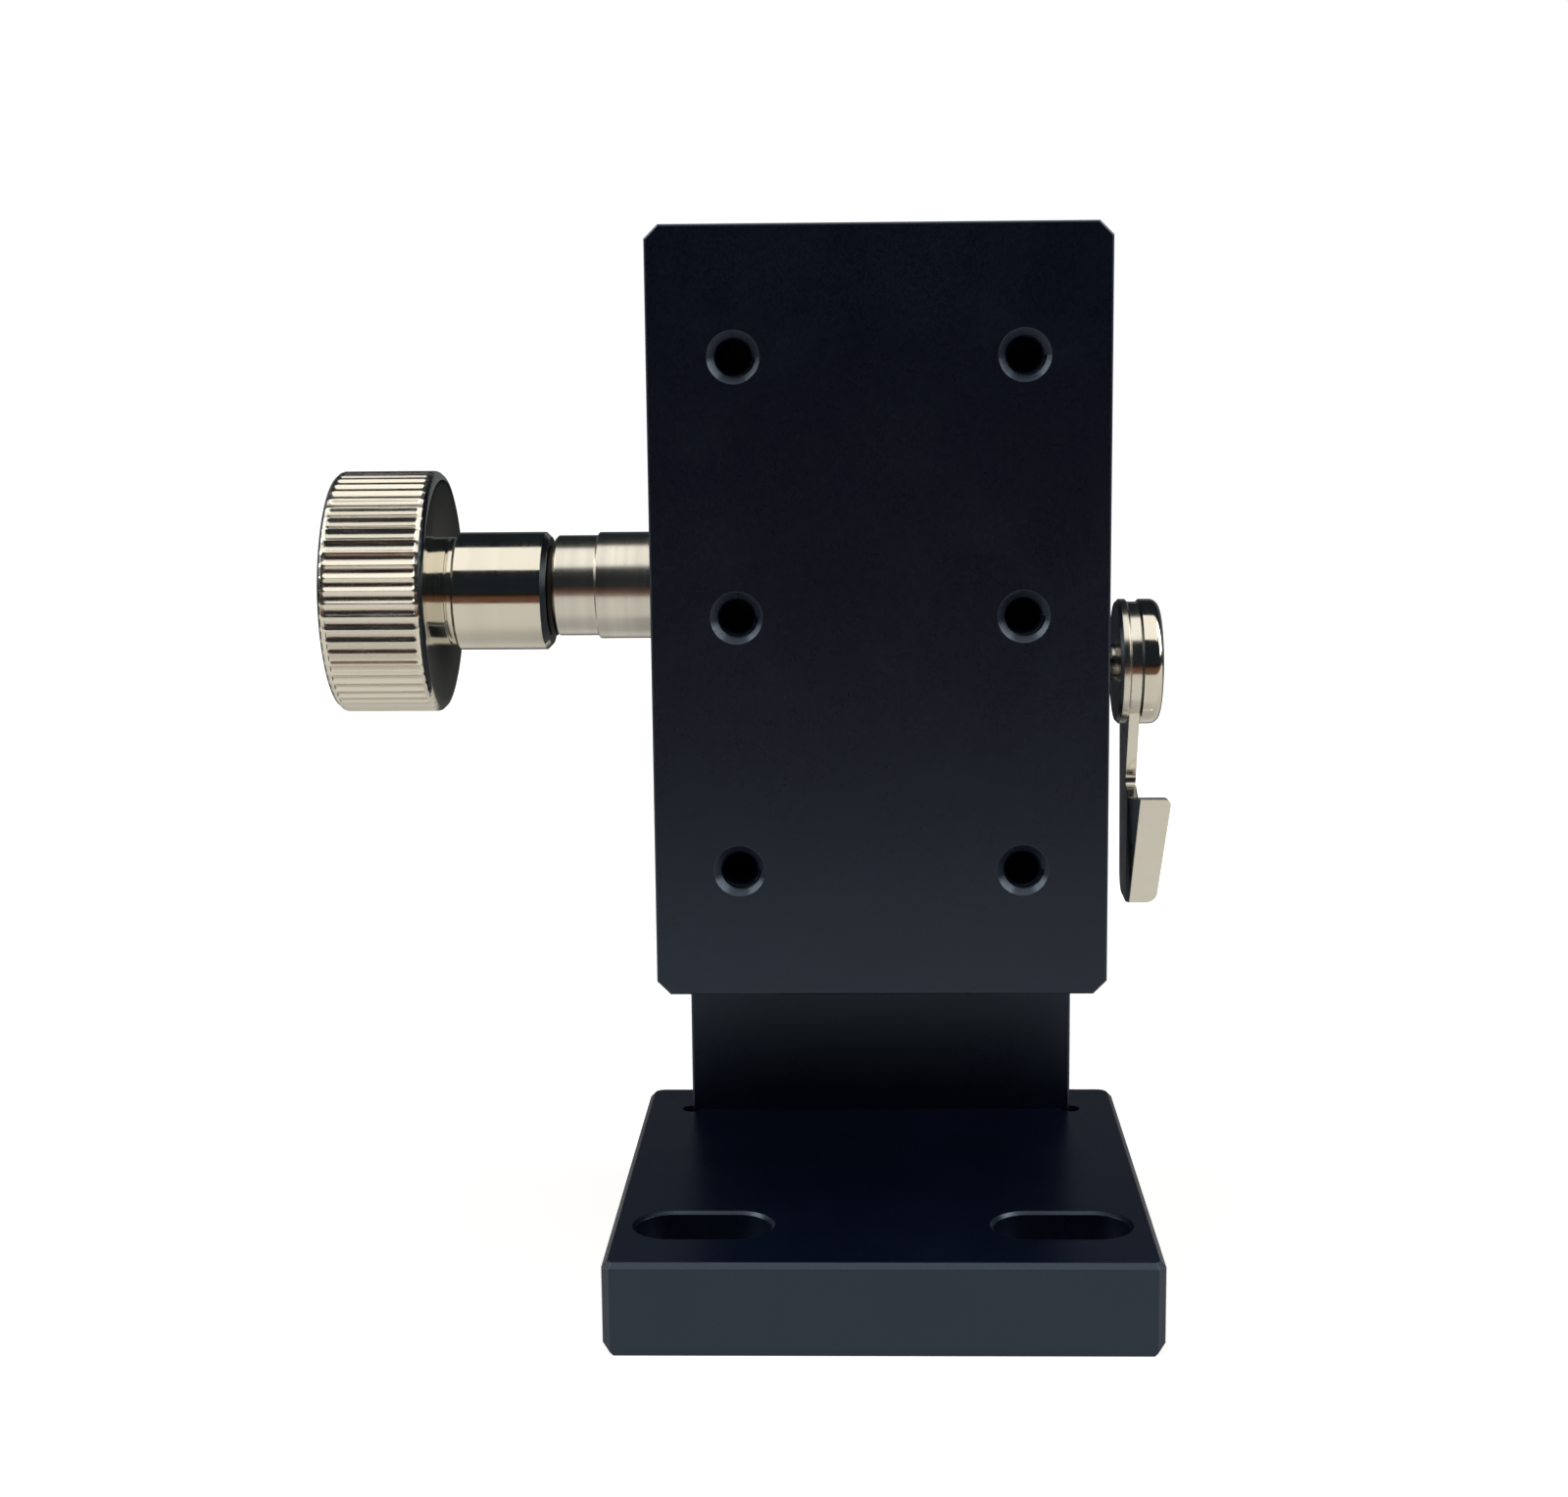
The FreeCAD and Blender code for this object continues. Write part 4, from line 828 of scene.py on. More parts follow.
@dataclass(kw_only=True)
class Screws:
    """Screws of one size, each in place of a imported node.

    Attributes:
        nodes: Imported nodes.
        body: Body that they ride on.
        along: Unit vector from socket to tip.
        key: Hexagon key across its flats.
        thread: Their thread.
        finish: Surface.
        wall_share: Depth of the socket's flats, as a share of the whole socket's.
        lead_share: Height of the chamfer at the socket's mouth, as a share of the key.
        mouth_share: Radius of that mouth, as a share of the key.
    """

    nodes: Sequence[str]
    body: Body
    along: Vector
    key: float
    thread: Thread
    finish: Finish = BLACK_OXIDE
    wall_share: float
    lead_share: float
    mouth_share: float

    def build(self) -> None:
        """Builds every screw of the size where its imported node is."""
        for node in self.nodes:
            low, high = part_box(node)
            size = high - low
            index = max(range(3), key=lambda axis: abs(self.along[axis]))
            top = (low + high) / 2
            top[index] = low[index] if self.along[index] > 0 else high[index]
            mesh = RingMesh(Spindle(node, top, self.along))
            self.add_rings(mesh, size[index], size[(index + 1) % 3] / 2)
            settle(mesh.build(node + "_dressed"), self.body, self.finish, None, [node])

    def add_rings(self, mesh: RingMesh, length: float, rim: float) -> None:
        """Adds one screw's rings. Each kind of screw has its own way.

        Args:
            mesh: Empty mesh on the screw's axis.
            length: Length of the whole screw.
            rim: Radius of its widest part.
        """
        raise NotImplementedError

    def add_socket(self, mesh: RingMesh, depth: float, count: int) -> None:
        """Adds the hexagon socket, from its drilled bottom to the chamfer at its mouth.

        Args:
            mesh: Mesh of the screw.
            depth: Depth of the socket.
            count: Points in its rings.
        """
        flats = polygon_radius(self.key / 2, 6)
        mesh.pole(depth)
        mesh.profile(((self.wall_share * depth, flats), (self.lead_share * self.key, flats),
                      (0.0, self.mouth_share * self.key)), count)


@dataclass(kw_only=True)
class CapScrews(Screws):
    """Socket head cap screws of one size.

    Attributes:
        head_height: Height of the head.
        shank: Radius of the threaded shank.
        knurl_grooves: Grooves round the head.
        knurl_depth: Depth of those grooves.
        head_count: Points in the head's rings.
        round_share: Rounding of the head's top, as a share of its radius.
        round_steps: Shares of the quarter turn that the rounding has rings at.
        neck_share: Radius under the head, as a share of the shank's.
        tip_share: Chamfer of the tip, as a share of the thread's depth.
    """

    head_height: float
    shank: float
    knurl_grooves: int = 32
    knurl_depth: float = 0.09 * MM
    head_count: int = 96
    round_share: float = 0.12
    round_steps: Sequence[float] = (0.0, 0.3, 0.6, 1.0)
    neck_share: float = 1.08
    tip_share: float = 1.3
    wall_share: float = 0.8
    lead_share: float = 0.06
    mouth_share: float = 0.62

    def knurl(self, rim: float) -> Callable[[float], float]:
        """Radius by angle of the knurled side of a head."""
        def radius(angle: float) -> float:
            phase = (angle / (2 * math.pi) * self.knurl_grooves) % 1.0
            return rim - self.knurl_depth * (1.0 - abs(2.0 * phase - 1.0))
        return radius

    def add_rings(self, mesh: RingMesh, length: float, rim: float) -> None:
        """See Screws.add_rings."""
        self.add_socket(mesh, min(self.head_height / 2, self.key), self.head_count)
        self.add_head(mesh, rim)
        pitch = self.thread.pitch
        mesh.ring(self.head_height + pitch / 2, self.shank, self.thread.count)
        self.thread.cut(mesh, self.head_height + pitch, length - pitch, self.shank)
        mesh.ring(length, self.shank - self.tip_share * self.thread.depth, self.thread.count)
        mesh.pole(length)

    def add_head(self, mesh: RingMesh, rim: float) -> None:
        """Adds the rounded and knurled head, down to the shank."""
        soft = self.round_share * rim
        foot = self.head_height
        knurl = self.knurl(rim)
        mesh.rounding(0.0, 1, rim, soft, self.round_steps, self.head_count)
        mesh.profile(((soft + self.knurl_depth, knurl), (foot - soft - self.knurl_depth, knurl),
                      (foot - soft, rim), (foot, rim - soft / 2),
                      (foot, self.shank * self.neck_share)), self.head_count)


@dataclass(kw_only=True)
class SetScrews(Screws):
    """Socket set screws of one size, M3 unless told otherwise.

    Attributes:
        radius: Radius of the thread.
        point_radius: Radius of the dog point, or zero for a flat point.
        point_length: Length of the dog point.
        point_edge: Chamfer of the dog point.
    """

    key: float = 1.5 * MM
    radius: float = 1.2 * MM
    thread: Thread = Thread(0.5 * MM, 0.22 * MM)
    point_radius: float = 0.0
    point_length: float = 0.0
    point_edge: float = 0.1 * MM
    wall_share: float = 0.85
    lead_share: float = 0.05
    mouth_share: float = 0.6

    def add_rings(self, mesh: RingMesh, length: float, rim: float) -> None:
        """See Screws.add_rings."""
        count = self.thread.count
        lead = self.thread.depth
        barrel = length - self.point_length
        self.add_socket(mesh, min(self.key, barrel / 2), count)
        mesh.ring(0.0, self.radius - lead, count)
        self.thread.cut(mesh, lead, barrel - lead, self.radius)
        mesh.ring(barrel, self.radius - lead, count)
        if self.point_radius:
            mesh.profile(((barrel, self.point_radius), (length - self.point_edge, self.point_radius),
                          (length, self.point_radius - self.point_edge)), count)
        mesh.pole(length)


@dataclass
class Knob:
    """Knurled knob with its neck, the thrust washer and the shaft behind it.

    Attributes:
        crest_share: Share of a groove's pitch that the crest beside it takes.
        run_out_share: Length that a groove runs out over, as a share of its depth.
        run_out: Places and depths of a run-out's rings, as shares of its length and of the depth.
        edge_steps: Shares of the quarter turn that the head's rounding has rings at.
        ring_shape: Places and depths of the root's ring groove, in widths of it.
    """

    knurl_grooves: int = 60
    groove_depth: float = 0.24 * MM
    crest_share: float = 0.10
    run_out_share: float = 0.8
    run_out: Sequence[tuple[float, float]] = ((-0.4, 0.35), (0.0, 0.75), (1.0, 1.0))
    steps_in_groove: int = 10
    plain_count: int = 120
    head_radius: float = 11.75 * MM
    head_width: float = 10.0 * MM
    head_edge: float = 0.8 * MM
    edge_steps: Sequence[float] = (0.0, 0.35, 0.7)
    edge_margin: float = 0.1 * MM
    rim_width: float = 1.3 * MM
    dish_depth: float = 0.9 * MM
    root_radius: float = 5.3 * MM
    root_length: float = 1.5 * MM
    ring_groove: float = 0.25 * MM
    ring_shape: Sequence[tuple[float, float]] = ((3.0, 0.0), (2.8, 1.0), (2.2, 1.0), (2.0, 0.0))
    neck_radius: float = 5.75 * MM
    neck_edge: float = 0.5 * MM
    bore_radius: float = 3.02 * MM
    bore_depth: float = 12.02 * MM
    bore_edge: float = 0.15 * MM
    tap_radius: float = 1.25 * MM
    tap_inset: float = 4.0 * MM
    tap_margin: float = 1.0 * MM
    tap_count: int = 48
    spindle: Spindle = field(init=False)
    length: float = field(init=False)

    def __post_init__(self) -> None:
        """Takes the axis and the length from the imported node."""
        low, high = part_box("knob")
        start = Vector((low.x, middle("pinion_shaft").y, middle("pinion_shaft").z))
        self.spindle = Spindle("knob_axis", start, Vector((1, 0, 0)))
        self.length = high.x - low.x

    def knurl(self, depth: float) -> Callable[[float], float]:
        """Radius by angle over round grooves with narrow crests between them.

        Args:
            depth: Depth of the grooves.

        Returns:
            Function that gives the radius at an angle.
        """
        def radius(angle: float) -> float:
            phase = (angle / (2 * math.pi) * self.knurl_grooves) % 1.0
            away = abs(2.0 * phase - 1.0) / (1.0 - self.crest_share)
            return self.head_radius - depth * max(0.0, 1.0 - away ** 2)
        return radius

    def build(self) -> None:
        """Builds the knob and dresses what it carries."""
        settle(self.turned_piece(), Body.KNOB, POLISHED_NICKEL, self.spindle, ["knob"])
        dress("pinion_shaft", GROUND_STEEL, self.spindle)
        # The washer's black is partly painted shade of the gap at the end of the neck.
        dress("thrust_washer", BLACK_WASHER_AND_GAP_SHADE)
        SetScrews(nodes=["knob_set_screw"], body=Body.KNOB, along=Vector((0, -1, 0))).build()

    def turned_piece(self) -> bpy.types.Object:
        """Builds the knob in one turned piece and drills the hole of its set screw.

        Returns:
            The new object.
        """
        mesh = RingMesh(self.spindle)
        plain = self.plain_count
        fine = self.knurl_grooves * self.steps_in_groove
        mesh.pole(0.0)
        mesh.ring(0.0, self.head_radius * 0.5, plain)
        mesh.ring(0.0, self.head_radius - self.head_edge - self.edge_margin, fine)
        mesh.rounding(0.0, 1, self.head_radius, self.head_edge, self.edge_steps, fine)
        self.add_knurl(mesh, fine)
        inner = self.head_width
        mesh.rounding(inner, -1, self.head_radius, self.head_edge, self.edge_steps[::-1], fine)
        mesh.ring(inner, self.head_radius - self.rim_width, plain)
        mesh.ring(inner - self.dish_depth, self.root_radius, plain)
        self.add_neck(mesh, plain)
        piece = self.drilled(mesh.build("knob_dressed"))
        self.paint_knurl(piece.data)
        return piece

    def paint_knurl(self, mesh: bpy.types.Mesh) -> None:
        """Gives the knurled side its own finish, with painted shade in its grooves, in the second
        material slot.
        """
        mesh.materials.append(POLISHED_NICKEL.material(self.spindle))
        mesh.materials.append(KNURLED_NICKEL.material(self.spindle))
        deepest = self.head_radius - 1.1 * self.groove_depth
        start = self.head_edge / 2
        for face in mesh.polygons:
            arm = face.center - self.spindle.origin
            knurled = arm.cross(self.spindle.along).length > deepest
            inside = start < arm.dot(self.spindle.along) < self.head_width - start
            face.material_index = int(knurled and inside)

    def add_knurl(self, mesh: RingMesh, fine: int) -> None:
        """Adds the knurled side, with grooves that run out at both rims."""
        reach = self.groove_depth * self.run_out_share
        start = self.head_edge
        end = self.head_width - self.head_edge
        for step, share in self.run_out:
            mesh.ring(start + step * reach, self.knurl(self.groove_depth * share), fine)
        for step, share in self.run_out[::-1]:
            mesh.ring(end - step * reach, self.knurl(self.groove_depth * share), fine)

    def add_neck(self, mesh: RingMesh, count: int) -> None:
        """Adds the root with its ring groove, the neck and the bore for the shaft."""
        root_end = self.head_width + self.root_length
        groove = self.ring_groove
        for back, sunk in self.ring_shape:
            mesh.ring(root_end - back * groove, self.root_radius - sunk * groove, count)
        mesh.profile((
            (root_end, self.root_radius),
            (root_end, self.neck_radius - groove),
            (root_end + groove, self.neck_radius),
            (self.length - self.neck_edge, self.neck_radius),
            (self.length, self.neck_radius - self.neck_edge),
            (self.length, self.bore_radius + self.bore_edge),
            (self.length - self.bore_edge, self.bore_radius),
            (self.length - self.bore_depth, self.bore_radius),
        ), count)
        mesh.pole(self.length - self.bore_depth)

    def drilled(self, piece: bpy.types.Object) -> bpy.types.Object:
        """Drills the set screw's hole from the back of the neck.

        Args:
            piece: The knob without its hole.

        Returns:
            The same object with the hole in its mesh.
        """
        start = self.spindle.origin + Vector((self.length - self.tap_inset, 0.0, 0.0))
        inside = self.bore_radius / 2
        outside = self.neck_radius + self.tap_margin
        drill_mesh = RingMesh(Spindle("drill", start, Vector((0, 1, 0))))
        drill_mesh.pole(inside)
        drill_mesh.profile(((inside, self.tap_radius), (outside, self.tap_radius)), self.tap_count)
        drill_mesh.pole(outside)
        drill = drill_mesh.build("drill")
        cutter = piece.modifiers.new("tap", "BOOLEAN")
        cutter.object = drill
        cutter.operation = "DIFFERENCE"
        cutter.solver = "EXACT"
        bpy.context.view_layer.update()
        graph = bpy.context.evaluated_depsgraph_get()
        drilled = bpy.data.meshes.new_from_object(piece.evaluated_get(graph))
        piece.modifiers.remove(cutter)
        piece.data = drilled
        shade(drilled)
        bpy.data.objects.remove(drill)
        return piece


@dataclass
class Bush:
    """Eccentric bush that carries the pinion shaft, and the plain bush at its far end."""

    barrel_radius: float = 5.2 * MM
    nose_radius: float = 4.9 * MM
    nose_length: float = 4.2 * MM
    edge: float = 0.3 * MM
    lip: float = 0.1 * MM
    step_edge: float = 0.08 * MM
    bore_radius: float = 3.03 * MM
    eccentricity: float = 0.5 * MM
    count: int = 128

    def build(self) -> None:
        """Builds the eccentric bush and dresses the other pieces on the axis."""
        low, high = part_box("pinion_bush")
        centre = (low + high) / 2
        spindle = Spindle("bush_axis", Vector((low.x, centre.y, centre.z)), Vector((1, 0, 0)))
        length = high.x - low.x
        below = Vector((0.0, 0.0, -self.eccentricity))
        mesh = RingMesh(spindle)
        mesh.ring(length, self.bore_radius, self.count, below)
        mesh.ring(self.lip, self.bore_radius, self.count, below)
        mesh.ring(0.0, self.bore_radius + self.lip, self.count, below)
        mesh.profile((
            (0.0, self.nose_radius - self.edge),
            (self.edge, self.nose_radius),
            (self.nose_length - self.step_edge, self.nose_radius),
            (self.nose_length, self.nose_radius + self.step_edge),
            (self.nose_length, self.barrel_radius - self.lip),
            (self.nose_length + self.lip, self.barrel_radius),
            (length - self.edge, self.barrel_radius),
            (length, self.barrel_radius - self.edge),
        ), self.count)
        mesh.join(list(range(self.count)))
        settle(mesh.build("pinion_bush_dressed"), Body.STAND, HAZY_NICKEL, spindle, ["pinion_bush"])
        dress("end_bush", BRASS)
        SetScrews(nodes=["bush_set_screw"], body=Body.STAND, along=Vector((0, -1, 0))).build()


@dataclass
class Clamp:
    """Clamp screw with its flange, the sheet lever, the rounded cap and the brass pad."""

    inner_crest: float = 1.60 * MM
    outer_crest: float = 1.95 * MM
    block_side: float = 20.05 * MM
    flange_start: float = 22.0 * MM
    flange_radius: float = 5.85 * MM
    flange_edge: float = 0.3 * MM
    spigot_half: float = 2.0 * MM
    cap_bore: float = 1.25 * MM
    cap_bore_depth: float = 4.0 * MM
    cap_thickness: float = 2.0 * MM
    cap_round: float = 0.9 * MM
    cap_round_steps: int = 8
    cap_edge: float = 0.15 * MM
    cap_spigot_gap: float = 0.05 * MM
    cap_spigot_lead: float = 0.3 * MM
    cap_spigot_foot: float = 0.1 * MM
    flange_thickness: float = 1.0 * MM
    thread: Thread = Thread(0.7 * MM, 0.32 * MM, 10)
    cap_thread: Thread = Thread(0.5 * MM, 0.2 * MM)
    count: int = 96

    def build(self) -> None:
        """Builds the clamp screw and the cap, and dresses the lever and the pad."""
        low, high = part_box("clamp_screw")
        axis = Vector((0.0, middle("clamp_cap").y, middle("clamp_cap").z))
        spindle = Spindle("clamp_axis", axis, Vector((1, 0, 0)))
        settle(self.screw(spindle, low.x, high.x), Body.CLAMP, HAZY_NICKEL, spindle, ["clamp_screw"])
        settle(self.cap(spindle, high.x), Body.CLAMP, POLISHED_NICKEL, spindle, ["clamp_cap"])
        dress("clamp_lever", SHEET_NICKEL)
        dress("clamp_pad", BRASS)

    def screw(self, spindle: Spindle, start: float, end: float) -> bpy.types.Object:
        """Builds the threaded stud with its flange and square spigot.

        Args:
            spindle: Axis of the clamp.
            start: Inner end of the stud, along X.
            end: Outer face of the spigot, along X.

        Returns:
            The new object.
        """
        mesh = RingMesh(spindle)
        lead = self.thread.depth
        coarse = self.thread.count
        mesh.pole(start)
        mesh.ring(start, self.inner_crest - lead, coarse)
        self.thread.cut(mesh, start + lead, self.block_side - lead, self.inner_crest)
        self.thread.cut(mesh, self.block_side, self.flange_start - lead, self.outer_crest)
        mesh.ring(self.flange_start, self.outer_crest - lead, coarse)
        edge = self.flange_edge
        face = self.flange_start + self.flange_thickness
        square = polygon_radius(self.spigot_half, 4)

        def spigot(angle: float) -> float:
            return square(angle + math.pi / 4)
        mesh.profile((
            (self.flange_start, self.outer_crest + edge),
            (self.flange_start, self.flange_radius - edge),
            (self.flange_start + edge, self.flange_radius),
            (face - edge / 2, self.flange_radius),
            (face, self.flange_radius - edge / 2),
            (face, spigot),
            (end, spigot),
            (end, self.cap_bore),
            (end - self.cap_bore_depth, self.cap_bore),
        ), self.count)
        mesh.pole(end - self.cap_bore_depth)
        return mesh.build("clamp_screw_dressed")

    def cap(self, spindle: Spindle, start: float) -> bpy.types.Object:
        """Builds the rounded cap with its threaded spigot.

        Args:
            spindle: Axis of the clamp.
            start: Inner face of the cap, along X.

        Returns:
            The new object.
        """
        mesh = RingMesh(spindle)
        radius = self.flange_radius
        core = self.cap_bore - self.cap_spigot_gap
        bottom = start - self.cap_bore_depth
        tip = bottom + self.cap_spigot_gap
        thread = self.cap_thread
        mesh.pole(tip)
        mesh.ring(tip, core - thread.depth, thread.count)
        thread.cut(mesh, bottom + self.cap_spigot_lead, start, core)
        mesh.profile(((start, core + self.cap_spigot_foot), (start, radius - self.cap_edge),
                      (start + self.cap_edge, radius)), self.count)
        top = start + self.cap_thickness
        shares = [1 - step / self.cap_round_steps for step in range(self.cap_round_steps + 1)]
        mesh.rounding(top, -1, radius, self.cap_round, shares, self.count)
        mesh.ring(top, radius / 2, self.count)
        mesh.pole(top)
        return mesh.build("clamp_cap_dressed")


@dataclass
class Table:
    """Moving table with its tapped holes, and the rack on its dovetail.

    Attributes:
        thread_root: Depth of a thread ridge's root in the hole's wall.
        thread_flank: Half of the ridge's root, as a share of the pitch.
        thread_crest: Half of the ridge's flat crest.
        thread_end: Distance of the thread's end from the hole's bottom.
    """

    hole_spacing_x: float = 25.0 * MM
    hole_spacing_z: float = 22.5 * MM
    rows: Sequence[int] = (-1, 0, 1)
    hole_radius: float = 1.65 * MM
    hole_depth: float = 10.0 * MM
    hole_chamfer: float = 0.65 * MM
    thread_pitch: float = 0.7 * MM
    thread_height: float = 0.22 * MM
    thread_root: float = 0.05 * MM
    thread_flank: float = 0.42
    thread_crest: float = 0.06 * MM
    thread_end: float = 0.5 * MM
    thread_sharp_deg: float = 60.0
    steps_in_turn: int = 48

    def build(self) -> None:
        """Dresses the table and cuts threads in its holes."""
        dress("table", ANODISED)
        dress("rack", GROUND_STEEL)
        CapScrews(nodes=["rack_screw_1", "rack_screw_2"], body=Body.TABLE, along=Vector((0, -1, 0)),
                  head_height=1.2 * MM, key=1.3 * MM, shank=0.75 * MM,
                  thread=Thread(0.4 * MM, 0.16 * MM), finish=GROUND_STEEL, knurl_depth=0.05 * MM).build()
        low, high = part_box("table")
        centre = (low + high) / 2
        number = 0
        for row in self.rows:
            for side in (-1, 1):
                number += 1
                mouth = Vector((side * self.hole_spacing_x / 2, low.y,
                                centre.z + row * self.hole_spacing_z))
                self.cut_thread(f"table_thread_{number}", mouth)

    def cut_thread(self, name: str, mouth: Vector) -> None:
        """Builds the ridge of one hole's thread.

        Args:
            name: Name of the piece.
            mouth: Centre of the hole's mouth.
        """
        start = self.hole_chamfer
        turns = (self.hole_depth - start - self.thread_end) / self.thread_pitch
        steps = int(turns * self.steps_in_turn)
        half = self.thread_pitch * self.thread_flank
        narrow = self.thread_crest
        spindle = Spindle(name, mouth, Vector((0, 1, 0)))
        points = []
        for step in range(steps + 1):
            angle = 2 * math.pi * step / self.steps_in_turn
            travel = start + self.thread_pitch * step / self.steps_in_turn
            rise = min(1.0, step / self.steps_in_turn, (steps - step) / self.steps_in_turn)
            root = self.hole_radius + self.thread_root
            crest = self.hole_radius - self.thread_height * rise
            for shift, radius in ((-half, root), (-narrow, crest), (narrow, crest), (half, root)):
                points.append(spindle.point(travel + shift, radius, angle))
        faces = []
        for step in range(steps):
            for corner in range(4):
                here = step * 4 + corner
                there = step * 4 + (corner + 1) % 4
                faces.append((here, there, there + 4, here + 4))
        faces.append((0, 1, 2, 3))
        faces.append(tuple(steps * 4 + corner for corner in (3, 2, 1, 0)))
        settle(make_piece(name, points, faces, self.thread_sharp_deg), Body.TABLE, ANODISED)


@dataclass
class Stand:
    """Base, column, slide block and gib, with the screws that hold them together."""

    column_screws: Sequence[str] = ("column_screw_1", "column_screw_2", "column_screw_3")
    block_screws: Sequence[str] = ("block_screw_1", "block_screw_2", "block_screw_3", "block_screw_4")
    gib_screws: Sequence[str] = ("gib_screw_1", "gib_screw_2", "gib_screw_3")
    gib_point_radius: float = 0.75 * MM
    gib_point_length: float = 2.8 * MM

    def build(self) -> None:
        """Dresses the milled pieces and builds the screws."""
        for node in ("base_plate", "column", "slide_block"):
            dress(node, ANODISED)
        dress("gib", BRASS)
        pin = middle("stop_pin")
        dress("stop_pin", GROUND_STEEL, Spindle("pin_axis", pin, Vector((0, 1, 0))))
        CapScrews(nodes=self.column_screws, body=Body.STAND, along=Vector((0, 0, 1)),
                  head_height=3.0 * MM, key=2.5 * MM, shank=1.2 * MM,
                  thread=Thread(0.5 * MM, 0.24 * MM)).build()
        CapScrews(nodes=self.block_screws, body=Body.STAND, along=Vector((0, -1, 0)),
                  head_height=4.0 * MM, key=3.0 * MM, shank=1.6 * MM,
                  thread=Thread(0.7 * MM, 0.32 * MM)).build()
        SetScrews(nodes=self.gib_screws, body=Body.STAND, along=Vector((-1, 0, 0)),
                  point_radius=self.gib_point_radius, point_length=self.gib_point_length).build()


@dataclass(frozen=True)
class Softbox:
    """Rectangular soft light that faces the object.

    Attributes:
        name: Name of the light.
        place: Centre.
        aim: Point that it faces.
        width: Size across.
        height: Size the other way.
        glow: Radiance of its face.
        colour: Colour.
    """

    name: str
    place: Vector
    aim: Vector
    width: float
    height: float
    glow: float
    colour: Colour = (1.0, 0.97, 0.92)

    def build(self) -> None:
        """Adds the light. Its power is the radiance times the area times pi."""
        light = bpy.data.lights.new(self.name, "AREA")
        light.shape = "RECTANGLE"
        light.size = self.width
        light.size_y = self.height
        light.energy = self.glow * self.width * self.height * math.pi
        light.color = self.colour
        lamp = bpy.data.objects.new(self.name, light)
        bpy.context.scene.collection.objects.link(lamp)
        facing = (self.aim - self.place).to_track_quat("-Z", "Y")
        lamp.matrix_world = Matrix.Translation(self.place) @ facing.to_matrix().to_4x4()


